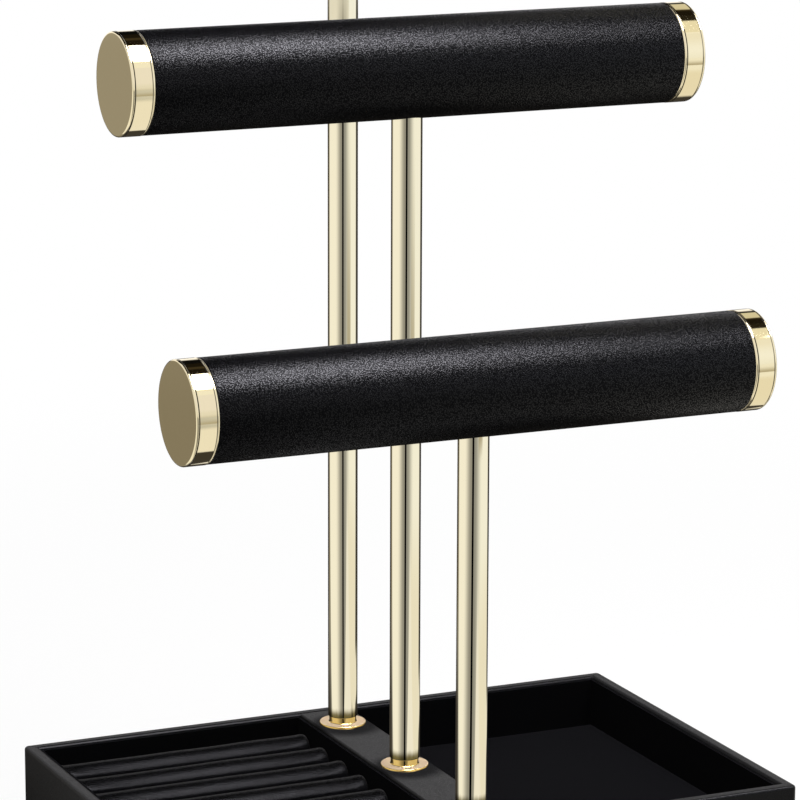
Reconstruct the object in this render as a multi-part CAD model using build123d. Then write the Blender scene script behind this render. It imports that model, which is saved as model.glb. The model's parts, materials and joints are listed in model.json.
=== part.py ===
from build123d import *
import math
import os

# Jewellery stand: a wrapped board case with a ring tray, an open tray and a drawer,
# and three wrapped bars on gold posts. Millimetres, +X to the right along the bars,
# +Y to the back, +Z up. The origin is the middle of the felt's underside.

# Whole stand
STAND_HEIGHT = 483.6      # table to the top of the rear bar's caps

# Case
CASE_WIDTH = 259.0        # outer size along X
CASE_DEPTH = 170.0        # outer size along Y
CASE_HEIGHT = 75.0        # table to rim
WALL = 5.4                # wrapped board of the walls
CORNER_R = 2.0            # upright corners of the case
RIM_OUTER_R = 1.3         # rounding of the rim's outer edge
RIM_INNER_R = 1.6         # rounding of the rim's inner edge
FELT = 1.0                # felt under the base
FELT_INSET = 1.5          # felt edge back from the case's outer faces
BOTTOM_BOARD = 5.0        # board under the drawer
DECK = 4.0                # board under the trays
TRAY_DEPTH = 21.0         # rim to the tray's lined floor
LINER = 1.0               # card with velvet, trays and drawer
LINER_DROP = 1.2          # rim to the liner's upper edge
RAIL_WIDTH = 22.4         # strip that the posts stand on
RAIL_EDGE_R = 1.0         # rounding of the rail's long upper edges

# Ring rolls
ROLL_COUNT = 8
ROLL_DROP = 5.0           # rim to the crest of a roll
ROLL_CREST_R = 6.1        # radius of a roll's round top, over straight sloping flanks
ROLL_END_R = 2.0          # rounding of a roll's ends
ROLL_GAP = 0.3            # between neighbouring rolls, and at the liner

# Posts and their turned flanges
POST_D = 12.0
POST_WALL = 1.0
POST_PITCH = 0.36 * CASE_DEPTH   # front to middle, middle to rear, along Y
FLANGE_D = 19.0
FLANGE_T = 1.0
FLANGE_BEVEL = 0.35       # upper edge of the disc
BOSS_D = 11.0
BOSS_H = 2.6
BOSS_FOOT = 0.6           # slope where the boss leaves the disc
SPIGOT_LENGTH = 14.0      # flange's spigot inside the post
END_PLUG = 12.0           # plug welded into the top of a post, with the stud
THREAD_D = 6.0            # M6 bolts and studs
BOLT_ENTRY = 12.0         # bolt inside the spigot
BOLT_HEAD_D = 14.0        # wide flat head of a connector bolt
BOLT_HEAD_H = 2.5
SOCKET_AF = 4.0           # hexagon socket, across flats
SOCKET_DEPTH = 1.7

# Bars
BAR_STEP = 111.5          # rise from one bar to the next
BAR_D = 39.0              # over the wrap
BAR_LENGTH = 237.0        # over the caps
WRAP_T = 0.9              # leather wrap
CAP_LENGTH = 9.0          # gold band of an end cap
CAP_D = 39.2
CAP_FACE = 1.2            # thickness of a cap's flat end
CAP_BEVEL = 0.7           # bevel round the flat end
CAP_LIP_BEVEL = 0.55      # bevel at the edge beside the wrap
POST_SEAT = 5.0           # post let into the bar
STUD_ENTRY = 16.0         # stud screwed into the core

# Drawer
DRAWER_GAP = 0.8          # round the drawer front, and beside the box
DRAWER_LIFT = 0.3         # running clearance over the bottom board
DRAWER_BACK_GAP = 1.3     # behind the closed drawer
FRONT_T = 7.0
FRONT_EDGE_R = 0.8
SIDE_T = 4.0
BOX_HEIGHT = 34.0
PANEL_T = 3.0             # drawer bottom
PANEL_RISE = 3.0          # under the drawer bottom, to the lower edge of the sides
GROOVE_DEPTH = 2.0
KNOB_D = 16.0
KNOB_REACH = 18.0         # drawer front to the knob's crown
KNOB_NECK_D = 8.0
KNOB_HEAD_T = 10.0
KNOB_BEVEL = 0.7          # bevel round the flat crown, as on the bars' caps
SCREW_D = 4.0
SCREW_HEAD_D = 8.0
SCREW_HEAD_H = 2.6
SCREW_ENTRY = 9.0         # screw inside the knob

# Fits, per side
THREAD_CLEAR = 0.05
GLUE_CLEAR = 0.05         # glued or pressed joints
HOLE_CLEAR = 0.3          # bolt and screw holes
SEAT_CLEAR = 0.1          # post in the bar
LINER_CLEAR = 0.05
PANEL_CLEAR = 0.05        # drawer bottom in its grooves
CUT_OVER = 1.0            # run of a cutter past the face that it opens

# Levels and half sizes that follow from these
INNER_X = CASE_WIDTH / 2 - WALL
INNER_Y = CASE_DEPTH / 2 - WALL
BAY_FLOOR = FELT + BOTTOM_BOARD
TRAY_FLOOR = CASE_HEIGHT - TRAY_DEPTH
DECK_TOP = TRAY_FLOOR - LINER
DECK_UNDER = DECK_TOP - DECK
BOX_FOOT = BAY_FLOOR + DRAWER_LIFT
BOX_TOP = BOX_FOOT + BOX_HEIGHT
FRONT_Y = -CASE_DEPTH / 2
BOX_FRONT_Y = FRONT_Y + FRONT_T
BOX_BACK_Y = INNER_Y - DRAWER_BACK_GAP
BOX_HALF_WIDTH = INNER_X - DRAWER_GAP
FRONT_TOP = DECK_UNDER - DRAWER_GAP
FRONT_FOOT = BOX_FOOT
KNOB_Z = (FRONT_FOOT + FRONT_TOP) / 2
PANEL_Z = BOX_FOOT + PANEL_RISE
POST_FOOT = CASE_HEIGHT + FLANGE_T + BOSS_H
CORE_D = BAR_D - 2 * WRAP_T
REAR_AXIS = STAND_HEIGHT - CAP_D / 2
TIERS = {
    name: (POST_PITCH * (1 - i), REAR_AXIS - BAR_STEP * i)
    for i, name in enumerate(("rear", "middle", "front"))
}


def block(x, y, z):
    """A box between two corners, each axis given as (low, high)."""
    size = [high - low for low, high in (x, y, z)]
    return Pos(x[0], y[0], z[0]) * Box(*size, align=(Align.MIN,) * 3)


def rod(diameter, low, high, x=0.0, y=0.0):
    """An upright round bar from one level to another."""
    foot = (Align.CENTER, Align.CENTER, Align.MIN)
    return Pos(x, y, low) * Cylinder(diameter / 2, high - low, align=foot)


def rod_along_x(diameter, low, high, y, z):
    """A round bar lying along X."""
    foot = (Align.CENTER, Align.CENTER, Align.MIN)
    return Pos(low, y, z) * Rot(Y=90) * Cylinder(diameter / 2, high - low, align=foot)


def rod_along_y(diameter, low, high, x, z):
    """A round bar lying along Y."""
    foot = (Align.CENTER, Align.CENTER, Align.MIN)
    return Pos(x, low, z) * Rot(X=-90) * Cylinder(diameter / 2, high - low, align=foot)


def tray_pan(x, y, z):
    """A lined pan: a floor and four walls, one liner thick, open above."""
    hollow = block((x[0] + LINER, x[1] - LINER), (y[0] + LINER, y[1] - LINER), (z[0] + LINER, z[1] + LINER))
    return block(x, y, z) - hollow


# --- Case ---------------------------------------------------------------------------


def case_ring():
    """The four walls in one piece, with rounded corners and rim, before they are cut apart."""
    outer_x, outer_y = CASE_WIDTH / 2, CASE_DEPTH / 2
    height = (FELT, CASE_HEIGHT)
    outer = block((-outer_x, outer_x), (-outer_y, outer_y), height)
    outer = fillet(outer.edges().filter_by(Axis.Z), CORNER_R)
    inner = block((-INNER_X, INNER_X), (-INNER_Y, INNER_Y), height)
    ring = outer - inner
    rim = ring.edges().group_by(Axis.Z)[-1]
    inside = [e for e in rim if abs(e.center().X) <= INNER_X + 0.01 and abs(e.center().Y) <= INNER_Y + 0.01]
    outside = [e for e in rim if e not in inside]
    ring = fillet(outside, RIM_OUTER_R)
    rim = ring.edges().group_by(Axis.Z)[-1]
    inside = [e for e in rim if abs(e.center().X) <= INNER_X + 0.01 and abs(e.center().Y) <= INNER_Y + 0.01]
    return fillet(inside, RIM_INNER_R)


def wall_wedge(half_length):
    """The space of one wall along X, outer face at Y = 0, mitred at 45 degrees at both ends."""
    spare = CORNER_R
    plan = Polyline(
        (-half_length - spare, -spare),
        (half_length + spare, -spare),
        (half_length - WALL, WALL),
        (-half_length + WALL, WALL),
        close=True,
    )
    return extrude(make_face(plan), CASE_HEIGHT + spare)


def case_walls():
    """The walls cut apart. The side walls run square to the front under the front rail."""
    ring = case_ring()
    half_x, half_y = CASE_WIDTH / 2, CASE_DEPTH / 2
    left = ring & (Pos(-half_x, 0, 0) * Rot(Z=-90) * wall_wedge(half_y))
    right = ring & (Pos(half_x, 0, 0) * Rot(Z=90) * wall_wedge(half_y))
    back = ring & (Pos(0, half_y, 0) * Rot(Z=180) * wall_wedge(half_x))
    front = ring & (Pos(0, -half_y, 0) * wall_wedge(half_x))
    under = block((-half_x, half_x), (-half_y, -INNER_Y), (0, DECK_UNDER))
    bay = block((-INNER_X, INNER_X), (-half_y, -INNER_Y), (0, DECK_UNDER))
    ends = ((front & under) - bay).solids().sort_by(Axis.X)
    return {
        "left_wall": left + ends[0],
        "right_wall": right + ends[-1],
        "back_wall": back,
        "front_rail": front - under,
    }


def bottom_felt():
    half_x, half_y = CASE_WIDTH / 2 - FELT_INSET, CASE_DEPTH / 2 - FELT_INSET
    return block((-half_x, half_x), (-half_y, half_y), (0, FELT))


def bottom_board():
    return block((-INNER_X, INNER_X), (FRONT_Y, INNER_Y), (FELT, BAY_FLOOR))


def tray_deck():
    deck = block((-INNER_X, INNER_X), (-INNER_Y, INNER_Y), (DECK_UNDER, DECK_TOP))
    return deck - bolt_holes()


def post_rail():
    rail = block((-RAIL_WIDTH / 2, RAIL_WIDTH / 2), (-INNER_Y, INNER_Y), (DECK_TOP, CASE_HEIGHT))
    edges = rail.edges().filter_by(Axis.Y).group_by(Axis.Z)[-1]
    return fillet(edges, RAIL_EDGE_R) - bolt_holes()


def bolt_holes():
    hole_d = THREAD_D + 2 * HOLE_CLEAR
    low, high = DECK_UNDER - CUT_OVER, CASE_HEIGHT + CUT_OVER
    return [rod(hole_d, low, high, y=y) for y, _ in TIERS.values()]


def tray_space(side):
    """Plan of the space left (side -1) or right (side 1) of the rail, for a liner."""
    near, far = RAIL_WIDTH / 2 + LINER_CLEAR, INNER_X - LINER_CLEAR
    return (min(side * near, side * far), max(side * near, side * far))


def tray_liner(side):
    depth = INNER_Y - LINER_CLEAR
    return tray_pan(tray_space(side), (-depth, depth), (DECK_TOP, CASE_HEIGHT - LINER_DROP))


def ring_roll(index):
    """One padded roll: a round crest over sloping flanks, with rounded ends."""
    depth = INNER_Y - LINER_CLEAR - LINER
    pitch = 2 * depth / ROLL_COUNT
    half = (pitch - ROLL_GAP) / 2
    height = TRAY_DEPTH - ROLL_DROP
    centre = height - ROLL_CREST_R
    # The flanks run from the foot and meet the round crest smoothly.
    slope = math.acos(ROLL_CREST_R / math.hypot(half, centre)) - math.atan2(centre, half)
    side = ROLL_CREST_R * math.cos(slope)
    shoulder = centre + ROLL_CREST_R * math.sin(slope)
    section = (
        Line((-half, 0), (-side, shoulder))
        + ThreePointArc((-side, shoulder), (0, height), (side, shoulder))
        + Line((side, shoulder), (half, 0))
        + Line((half, 0), (-half, 0))
    )
    low, high = tray_space(-1)
    low, high = low + LINER + ROLL_GAP, high - LINER - ROLL_GAP
    roll = extrude(Plane.YZ * make_face(section), high - low)
    # Seen from the front the ends are rounded at the top.
    front_view = block((0, high - low), (-half, half), (0, height))
    front_view = fillet(front_view.edges().filter_by(Axis.Y).group_by(Axis.Z)[-1], ROLL_END_R)
    return Pos(low, depth - pitch * (index + 0.5), TRAY_FLOOR) * (roll & front_view)


# --- Posts --------------------------------------------------------------------------


def post_top(axis_z):
    return axis_z - BAR_D / 2 + POST_SEAT


def post(y, axis_z):
    """A tube, its top closed by a welded plug that carries the stud for the bar."""
    top = post_top(axis_z)
    bore = rod(POST_D - 2 * POST_WALL, POST_FOOT - CUT_OVER, top - END_PLUG, y=y)
    stud = rod(THREAD_D - 2 * THREAD_CLEAR, top - CUT_OVER, top + STUD_ENTRY, y=y)
    return rod(POST_D, POST_FOOT, top, y=y) - bore + stud


def post_flange(y, _axis_z):
    """A turned disc with a boss and a spigot that the tube is glued over, tapped for the bolt."""
    disc, boss, tapped = FLANGE_D / 2, BOSS_D / 2, THREAD_D / 2
    spigot = POST_D / 2 - POST_WALL - GLUE_CLEAR
    shoulder = FLANGE_T + BOSS_H
    outline = Polyline(
        (tapped, 0),
        (disc, 0),
        (disc, FLANGE_T - FLANGE_BEVEL),
        (disc - FLANGE_BEVEL, FLANGE_T),
        (boss + BOSS_FOOT, FLANGE_T),
        (boss, FLANGE_T + BOSS_FOOT),
        (boss, shoulder),
        (spigot, shoulder),
        (spigot, shoulder + SPIGOT_LENGTH),
        (tapped, shoulder + SPIGOT_LENGTH),
        close=True,
    )
    return Pos(0, y, CASE_HEIGHT) * revolve(Plane.XZ * make_face(outline), Axis.Z)


def post_bolt(y, _axis_z):
    """A connector bolt from under the deck into the flange's spigot."""
    foot = DECK_UNDER - BOLT_HEAD_H
    shank = rod(THREAD_D - 2 * THREAD_CLEAR, foot, POST_FOOT + BOLT_ENTRY, y=y)
    head = rod(BOLT_HEAD_D, foot, DECK_UNDER, y=y)
    hexagon = RegularPolygon(SOCKET_AF / 2, 6, major_radius=False)
    socket = Pos(0, y, foot) * extrude(hexagon, SOCKET_DEPTH)
    return shank + head - socket


# --- Bars ---------------------------------------------------------------------------


def post_bore(y, axis_z):
    """The drilled seat of the post in the underside of a bar."""
    return rod(POST_D + 2 * SEAT_CLEAR, axis_z - BAR_D, post_top(axis_z), y=y)


def bar_core(y, axis_z):
    half = BAR_LENGTH / 2 - CAP_FACE
    core = rod_along_x(CORE_D, -half, half, y, axis_z)
    stud_hole = rod(THREAD_D, axis_z - CORE_D, post_top(axis_z) + STUD_ENTRY, y=y)
    return core - post_bore(y, axis_z) - stud_hole


def bar_wrap(y, axis_z):
    half = BAR_LENGTH / 2 - CAP_LENGTH
    wrap = rod_along_x(BAR_D, -half, half, y, axis_z)
    inside = rod_along_x(CORE_D, -half - CUT_OVER, half + CUT_OVER, y, axis_z)
    return wrap - inside - post_bore(y, axis_z)


def bar_cap(side, y, axis_z):
    """A turned cup over the end of the core, with a bevel at both of its edges."""
    outer, inner = CAP_D / 2, CORE_D / 2 + GLUE_CLEAR
    face = BAR_LENGTH / 2
    lip = face - CAP_LENGTH
    outline = Polyline(
        (0, face),
        (outer - CAP_BEVEL, face),
        (outer, face - CAP_BEVEL),
        (outer, lip + CAP_LIP_BEVEL),
        (outer - CAP_LIP_BEVEL, lip),
        (inner, lip),
        (inner, face - CAP_FACE),
        (0, face - CAP_FACE),
        close=True,
    )
    cup = revolve(Plane.XZ * make_face(outline), Axis.Z)
    return Pos(0, y, axis_z) * Rot(Y=90 * side) * cup


def bar_caps(y, axis_z):
    """The two caps of a bar, alike apart from their side."""
    return Compound(children=[bar_cap(side, y, axis_z) for side in (-1, 1)])


# --- Drawer -------------------------------------------------------------------------


def panel_space(clear):
    """The drawer bottom with its edges in the grooves, less a clearance."""
    half = BOX_HALF_WIDTH - SIDE_T + GROOVE_DEPTH - clear
    front = BOX_FRONT_Y - GROOVE_DEPTH + clear
    back = BOX_BACK_Y - SIDE_T + GROOVE_DEPTH - clear
    return block((-half, half), (front, back), (PANEL_Z + clear, PANEL_Z + PANEL_T - clear))


def drawer_front():
    half = BOX_HALF_WIDTH
    panel = block((-half, half), (FRONT_Y, BOX_FRONT_Y), (FRONT_FOOT, FRONT_TOP))
    panel = fillet(panel.edges().group_by(Axis.Y)[0], FRONT_EDGE_R)
    hole = rod_along_y(SCREW_D + 2 * HOLE_CLEAR, FRONT_Y - CUT_OVER, BOX_FRONT_Y, 0, KNOB_Z)
    # The screw's head is sunk, so that the liner lies flat over it.
    head = rod_along_y(SCREW_HEAD_D + 2 * HOLE_CLEAR, BOX_FRONT_Y - SCREW_HEAD_H, BOX_FRONT_Y, 0, KNOB_Z)
    return panel - panel_space(0) - hole - head


def drawer_side(side):
    outer, inner = side * BOX_HALF_WIDTH, side * (BOX_HALF_WIDTH - SIDE_T)
    board = block((min(outer, inner), max(outer, inner)), (BOX_FRONT_Y, BOX_BACK_Y), (BOX_FOOT, BOX_TOP))
    return board - panel_space(0)


def drawer_back():
    half = BOX_HALF_WIDTH - SIDE_T
    board = block((-half, half), (BOX_BACK_Y - SIDE_T, BOX_BACK_Y), (BOX_FOOT, BOX_TOP))
    return board - panel_space(0)


def drawer_liner():
    half = BOX_HALF_WIDTH - SIDE_T - LINER_CLEAR
    depth = (BOX_FRONT_Y + LINER_CLEAR, BOX_BACK_Y - SIDE_T - LINER_CLEAR)
    return tray_pan((-half, half), depth, (PANEL_Z + PANEL_T, BOX_TOP - LINER_DROP))


def drawer_knob():
    """A turned knob: a neck, and a head with a flat crown, bored for its screw."""
    neck, head = KNOB_NECK_D / 2, KNOB_D / 2
    under = KNOB_REACH - KNOB_HEAD_T
    outline = Polyline(
        (0, 0),
        (neck, 0),
        (neck, under),
        (head, under),
        (head, KNOB_REACH - KNOB_BEVEL),
        (head - KNOB_BEVEL, KNOB_REACH),
        (0, KNOB_REACH),
        close=True,
    )
    knob = revolve(Plane.XZ * make_face(outline), Axis.Z)
    knob -= rod(SCREW_D, -CUT_OVER, SCREW_ENTRY + CUT_OVER)
    return Pos(0, FRONT_Y, KNOB_Z) * Rot(X=90) * knob


def knob_screw():
    seat = BOX_FRONT_Y - SCREW_HEAD_H
    shank = rod_along_y(SCREW_D - 2 * THREAD_CLEAR, FRONT_Y - SCREW_ENTRY, seat, 0, KNOB_Z)
    return shank + rod_along_y(SCREW_HEAD_D, seat, BOX_FRONT_Y, 0, KNOB_Z)


# --- All sub-parts ------------------------------------------------------------------


def each_tier(make):
    """The same small piece on every tier, kept as separate solids in one group."""
    return Compound(children=[make(y, z) for y, z in TIERS.values()])


def build_parts():
    parts = dict(case_walls())
    parts["bottom_felt"] = bottom_felt()
    parts["bottom_board"] = bottom_board()
    parts["tray_deck"] = tray_deck()
    parts["post_rail"] = post_rail()
    parts["ring_tray_liner"] = tray_liner(-1)
    parts["open_tray_liner"] = tray_liner(1)
    for i in range(ROLL_COUNT):
        parts[f"ring_roll_{i + 1}"] = ring_roll(i)
    for name, (y, z) in TIERS.items():
        parts[f"post_{name}"] = post(y, z)
        parts[f"bar_core_{name}"] = bar_core(y, z)
        parts[f"bar_wrap_{name}"] = bar_wrap(y, z)
        parts[f"bar_caps_{name}"] = bar_caps(y, z)
    parts["post_flanges"] = each_tier(post_flange)
    parts["post_bolts"] = each_tier(post_bolt)
    parts["drawer_front"] = drawer_front()
    parts["drawer_left_side"] = drawer_side(-1)
    parts["drawer_right_side"] = drawer_side(1)
    parts["drawer_back"] = drawer_back()
    parts["drawer_bottom"] = panel_space(PANEL_CLEAR)
    parts["drawer_liner"] = drawer_liner()
    parts["drawer_knob"] = drawer_knob()
    parts["knob_screw"] = knob_screw()
    return parts


os.makedirs("parts", exist_ok=True)
for node, shape in build_parts().items():
    export_step(shape, f"parts/{node}.step")
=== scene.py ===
# %% [markdown]
# # A jewellery stand with a drawer
# The stand is a wrapped case with a ring tray, an open tray and a drawer. Three round bars in
# black leather stand over it on gold posts. Every piece comes ready made from the construction
# model, at its real size. This lesson gives the pieces their finishes, and remakes those whose
# look depends on fine edges or soft padding: the turned metal, the leather sleeves, the walls of
# the case and the ring rolls.

# %% Load the construction model
import json
import math

import bmesh
import bpy
from mathutils import Matrix, Vector, noise

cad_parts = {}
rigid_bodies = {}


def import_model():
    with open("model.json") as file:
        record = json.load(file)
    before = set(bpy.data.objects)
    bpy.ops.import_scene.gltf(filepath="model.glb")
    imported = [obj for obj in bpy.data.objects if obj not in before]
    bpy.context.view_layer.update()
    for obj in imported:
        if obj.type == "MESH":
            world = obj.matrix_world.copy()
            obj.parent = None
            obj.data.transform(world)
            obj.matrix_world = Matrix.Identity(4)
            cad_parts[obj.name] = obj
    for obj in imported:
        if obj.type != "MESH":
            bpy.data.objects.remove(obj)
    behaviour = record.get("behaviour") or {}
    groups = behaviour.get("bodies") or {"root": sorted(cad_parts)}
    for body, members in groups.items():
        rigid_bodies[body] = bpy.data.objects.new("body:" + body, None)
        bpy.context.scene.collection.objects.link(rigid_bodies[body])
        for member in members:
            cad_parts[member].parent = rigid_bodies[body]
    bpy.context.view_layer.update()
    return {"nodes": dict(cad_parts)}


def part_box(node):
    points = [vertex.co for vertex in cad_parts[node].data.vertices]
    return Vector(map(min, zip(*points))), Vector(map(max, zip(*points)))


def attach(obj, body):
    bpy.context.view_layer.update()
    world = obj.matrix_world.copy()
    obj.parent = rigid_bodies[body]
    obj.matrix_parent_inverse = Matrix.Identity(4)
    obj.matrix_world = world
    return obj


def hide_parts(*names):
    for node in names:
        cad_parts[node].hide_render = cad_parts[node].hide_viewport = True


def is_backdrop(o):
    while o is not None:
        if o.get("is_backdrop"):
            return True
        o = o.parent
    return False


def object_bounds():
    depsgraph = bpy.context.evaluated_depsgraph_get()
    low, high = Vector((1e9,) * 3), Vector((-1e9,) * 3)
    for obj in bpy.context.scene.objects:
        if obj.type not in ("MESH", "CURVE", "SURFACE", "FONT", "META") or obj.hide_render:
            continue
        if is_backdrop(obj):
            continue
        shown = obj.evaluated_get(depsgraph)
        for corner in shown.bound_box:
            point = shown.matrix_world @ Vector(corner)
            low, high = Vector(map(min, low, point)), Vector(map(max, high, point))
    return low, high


MM = 0.001

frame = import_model()
nodes = frame["nodes"]

# %% [markdown]
# ## The camera
# The photograph was taken with a long lens from the left of the front and a little above. Its
# place was worked out from the edges of the case and the bars, which run along known axes. A
# long lens keeps these edges nearly parallel, so it is set as a real focal length.

# %% Camera
CAMERA_PLACE = Vector((-0.6194, -1.3609, 0.5561))
CAMERA_YAW = math.radians(24.385)
CAMERA_PITCH = math.radians(12.562)
CAMERA_ROLL = math.radians(0.19)
FOCAL_LENGTH = 177.94


def camera_axes(yaw, pitch, roll):
    """The camera's own axes: to its right, up, and back, away from what it looks at."""
    back = Vector((-math.sin(yaw) * math.cos(pitch), -math.cos(yaw) * math.cos(pitch), math.sin(pitch)))
    right = Vector((math.cos(yaw), -math.sin(yaw), 0))
    axes = Matrix((right, back.cross(right), back)).transposed()
    return axes @ Matrix.Rotation(roll, 3, "Z")


camera = bpy.data.objects.new("camera", bpy.data.cameras.new("camera"))
camera.data.lens = FOCAL_LENGTH
camera.data.clip_start = 0.05
camera.matrix_world = Matrix.Translation(CAMERA_PLACE) @ camera_axes(
    CAMERA_YAW, CAMERA_PITCH, CAMERA_ROLL
).to_4x4()
bpy.context.scene.collection.objects.link(camera)
bpy.context.scene.camera = camera
print("camera distance in m:", round(CAMERA_PLACE.length, 2))

# %% [markdown]
# ## Colours and nodes
# Colours are easiest to pick as the hex values that a picture editor shows, but the renderer adds
# up light in linear values. One function turns the one into the other. A second one adds a shader
# node, sets it and wires it up, so that every material below reads as a short list.

# %% Helpers for materials
def linear(hex_colour):
    """An sRGB hex colour as the linear red, green, blue and alpha that Blender works with."""
    parts = [int(hex_colour[i : i + 2], 16) / 255 for i in (1, 3, 5)]
    return [c / 12.92 if c <= 0.04045 else ((c + 0.055) / 1.055) ** 2.4 for c in parts] + [1.0]


def add_node(tree, kind, settings=None, inputs=None):
    """Adds a node, sets its properties, and fills its sockets with values or links."""
    node = tree.nodes.new(kind)
    for name, value in (settings or {}).items():
        setattr(node, name, value)
    for name, value in (inputs or {}).items():
        if isinstance(value, bpy.types.NodeSocket):
            tree.links.new(value, node.inputs[name])
        else:
            node.inputs[name].default_value = value
    return node


def new_material(name):
    """An empty node material, and its tree."""
    material = bpy.data.materials.new(name)
    material.use_nodes = True
    material.node_tree.nodes.clear()
    return material, material.node_tree


print("white in linear values:", linear("#FFFFFF"))

# %% [markdown]
# ## White room
# The stand is photographed on white. The world is white to the camera and to mirror reflections,
# so that polished metal shows the white room too, and a calmer grey is what lights the matt
# surfaces. The Light Path node tells the two apart, because it knows what kind of ray is asking.

# %% World
ROOM_GREY = 0.5

world = bpy.data.worlds.new("white_room")
bpy.context.scene.world = world
world.use_nodes = True
world.node_tree.nodes.clear()


def seen_directly(tree):
    """1 for what the camera, a mirror or glass sees, 0 for light that matt surfaces gather."""
    path = add_node(tree, "ShaderNodeLightPath")
    mirror = add_node(
        tree, "ShaderNodeMath", {"operation": "MAXIMUM"},
        {0: path.outputs["Is Camera Ray"], 1: path.outputs["Is Glossy Ray"]},
    )
    glass = add_node(
        tree, "ShaderNodeMath", {"operation": "MAXIMUM"},
        {0: mirror.outputs[0], 1: path.outputs["Is Transmission Ray"]},
    )
    return glass.outputs[0]


tree = world.node_tree
strength = add_node(
    tree, "ShaderNodeMapRange", None,
    {"Value": seen_directly(tree), "To Min": ROOM_GREY, "To Max": 1.0},
)
sky = add_node(
    tree, "ShaderNodeBackground", None,
    {"Color": linear("#FFFFFF"), "Strength": strength.outputs[0]},
)
add_node(tree, "ShaderNodeOutputWorld", None, {"Surface": sky.outputs[0]})
print("grey that lights the matt surfaces:", ROOM_GREY)

# %% [markdown]
# ## Meshes from a formula
# A sheet that curves or carries a pattern of tones is easiest as a grid, whose points a function
# places. The floor and the cards for the reflections are made this way. A second helper puts any
# mesh into the scene with its material.

# %% Helpers for meshes
def grid_mesh(name, place, columns, rows, closed=False):
    """A sheet of quads. place(u, v) gives its points, with u and v from 0 to 1."""
    across = columns if closed else columns + 1
    points = [place(i / columns, j / rows) for j in range(rows + 1) for i in range(across)]
    faces = []
    for j in range(rows):
        for i in range(columns):
            a, b = j * across + i, j * across + (i + 1) % across
            faces.append((a, b, b + across, a + across))
    mesh = bpy.data.meshes.new(name)
    mesh.from_pydata(points, [], faces)
    return mesh


def link(name, mesh, material):
    """A new object in the scene, with its mesh and its material."""
    piece = bpy.data.objects.new(name, mesh)
    piece.data.materials.append(material)
    bpy.context.scene.collection.objects.link(piece)
    return piece


# %% [markdown]
# ## White floor
# The floor is matt white paper. Near the stand a part of its look is the real light, and with it
# the stand's soft shadow. Further out it fades to pure white, so that its edge isn't seen.

# %% Floor
FLOOR_RADIUS = 1.25
FLOOR_STEPS = 96
FLOOR_RINGS = 8
FLOOR_WHITE = "#F7F7F7"
FLOOR_GLOW = 0.82
FLOOR_FADE = (0.35, 1.1)

# Paper is matt through and through, so the eye gets a shadow from it and no shine.
floor_material, tree = new_material("white_paper_floor")
paper = add_node(tree, "ShaderNodeBsdfDiffuse", None, {"Color": linear(FLOOR_WHITE)})
glow = add_node(tree, "ShaderNodeEmission", None, {"Color": linear("#FFFFFF"), "Strength": 1.0})
place = add_node(tree, "ShaderNodeTexCoord").outputs["Object"]
distance = add_node(tree, "ShaderNodeVectorMath", {"operation": "LENGTH"}, {0: place})
whiter = add_node(
    tree, "ShaderNodeMapRange", {"interpolation_type": "SMOOTHSTEP"},
    {"Value": distance.outputs["Value"], "From Min": FLOOR_FADE[0], "From Max": FLOOR_FADE[1],
     "To Min": FLOOR_GLOW, "To Max": 1.0},
)
share = add_node(
    tree, "ShaderNodeMath", {"operation": "MULTIPLY"},
    {0: seen_directly(tree), 1: whiter.outputs[0]},
)
both = add_node(
    tree, "ShaderNodeMixShader", None,
    {0: share.outputs[0], 1: paper.outputs[0], 2: glow.outputs[0]},
)
add_node(tree, "ShaderNodeOutputMaterial", None, {"Surface": both.outputs[0]})


def floor_point(u, v):
    """A point of the round floor: u is the share of a turn, v the share of the radius."""
    turn, reach = math.tau * u, FLOOR_RADIUS * v
    return (reach * math.cos(turn), reach * math.sin(turn), 0)


floor_mesh = grid_mesh("floor", floor_point, FLOOR_STEPS, FLOOR_RINGS, closed=True)
floor = link("floor", floor_mesh, floor_material)
floor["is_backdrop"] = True
stage_pieces = [floor]
print("floor radius in m:", FLOOR_RADIUS)

# %% [markdown]
# ## Softbox
# One square lamp, more than a metre wide, hangs over the right front of the stand. Its size makes
# the shadows soft. Reflections don't see it, because the cards below draw what metal mirrors.

# %% Softbox
LAMP_POWER = 22.0
LAMP_SIZE = 1.1
LAMP_PLACE = Vector((0.35, -0.45, 1.5))
LAMP_AIM = Vector((0, 0, 0.2))

lamp = bpy.data.lights.new("softbox", "AREA")
lamp.shape = "SQUARE"
lamp.size = LAMP_SIZE
lamp.energy = LAMP_POWER
softbox = bpy.data.objects.new("softbox", lamp)
softbox.location = LAMP_PLACE
softbox.rotation_euler = (LAMP_AIM - LAMP_PLACE).to_track_quat("-Z", "Y").to_euler()
softbox.visible_glossy = False
bpy.context.scene.collection.objects.link(softbox)
print("lamp power in W:", LAMP_POWER)

# %% [markdown]
# ## Cards for the reflections
# Polished tubes show the room, not the lamp. In a studio that is shaped with cards: a bright
# panel overhead, black ones beside it, and a dark slot where the camera stands. These cards do
# the same. They are seen in reflections alone, so they change neither the background nor the
# light on matt surfaces. Each card holds its brightness in a colour attribute of its mesh, and
# one tone runs into the next over a short stretch, which keeps the bands on the metal soft.

# %% What a card is
# The card glows by itself, so its tone is exactly what the metal mirrors.
card_material, tree = new_material("glowing_card")
brightness = add_node(tree, "ShaderNodeAttribute", {"attribute_name": "glow"})
light = add_node(
    tree, "ShaderNodeEmission", None, {"Color": brightness.outputs["Color"], "Strength": 1.0}
)
add_node(tree, "ShaderNodeOutputMaterial", None, {"Surface": light.outputs[0]})


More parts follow.
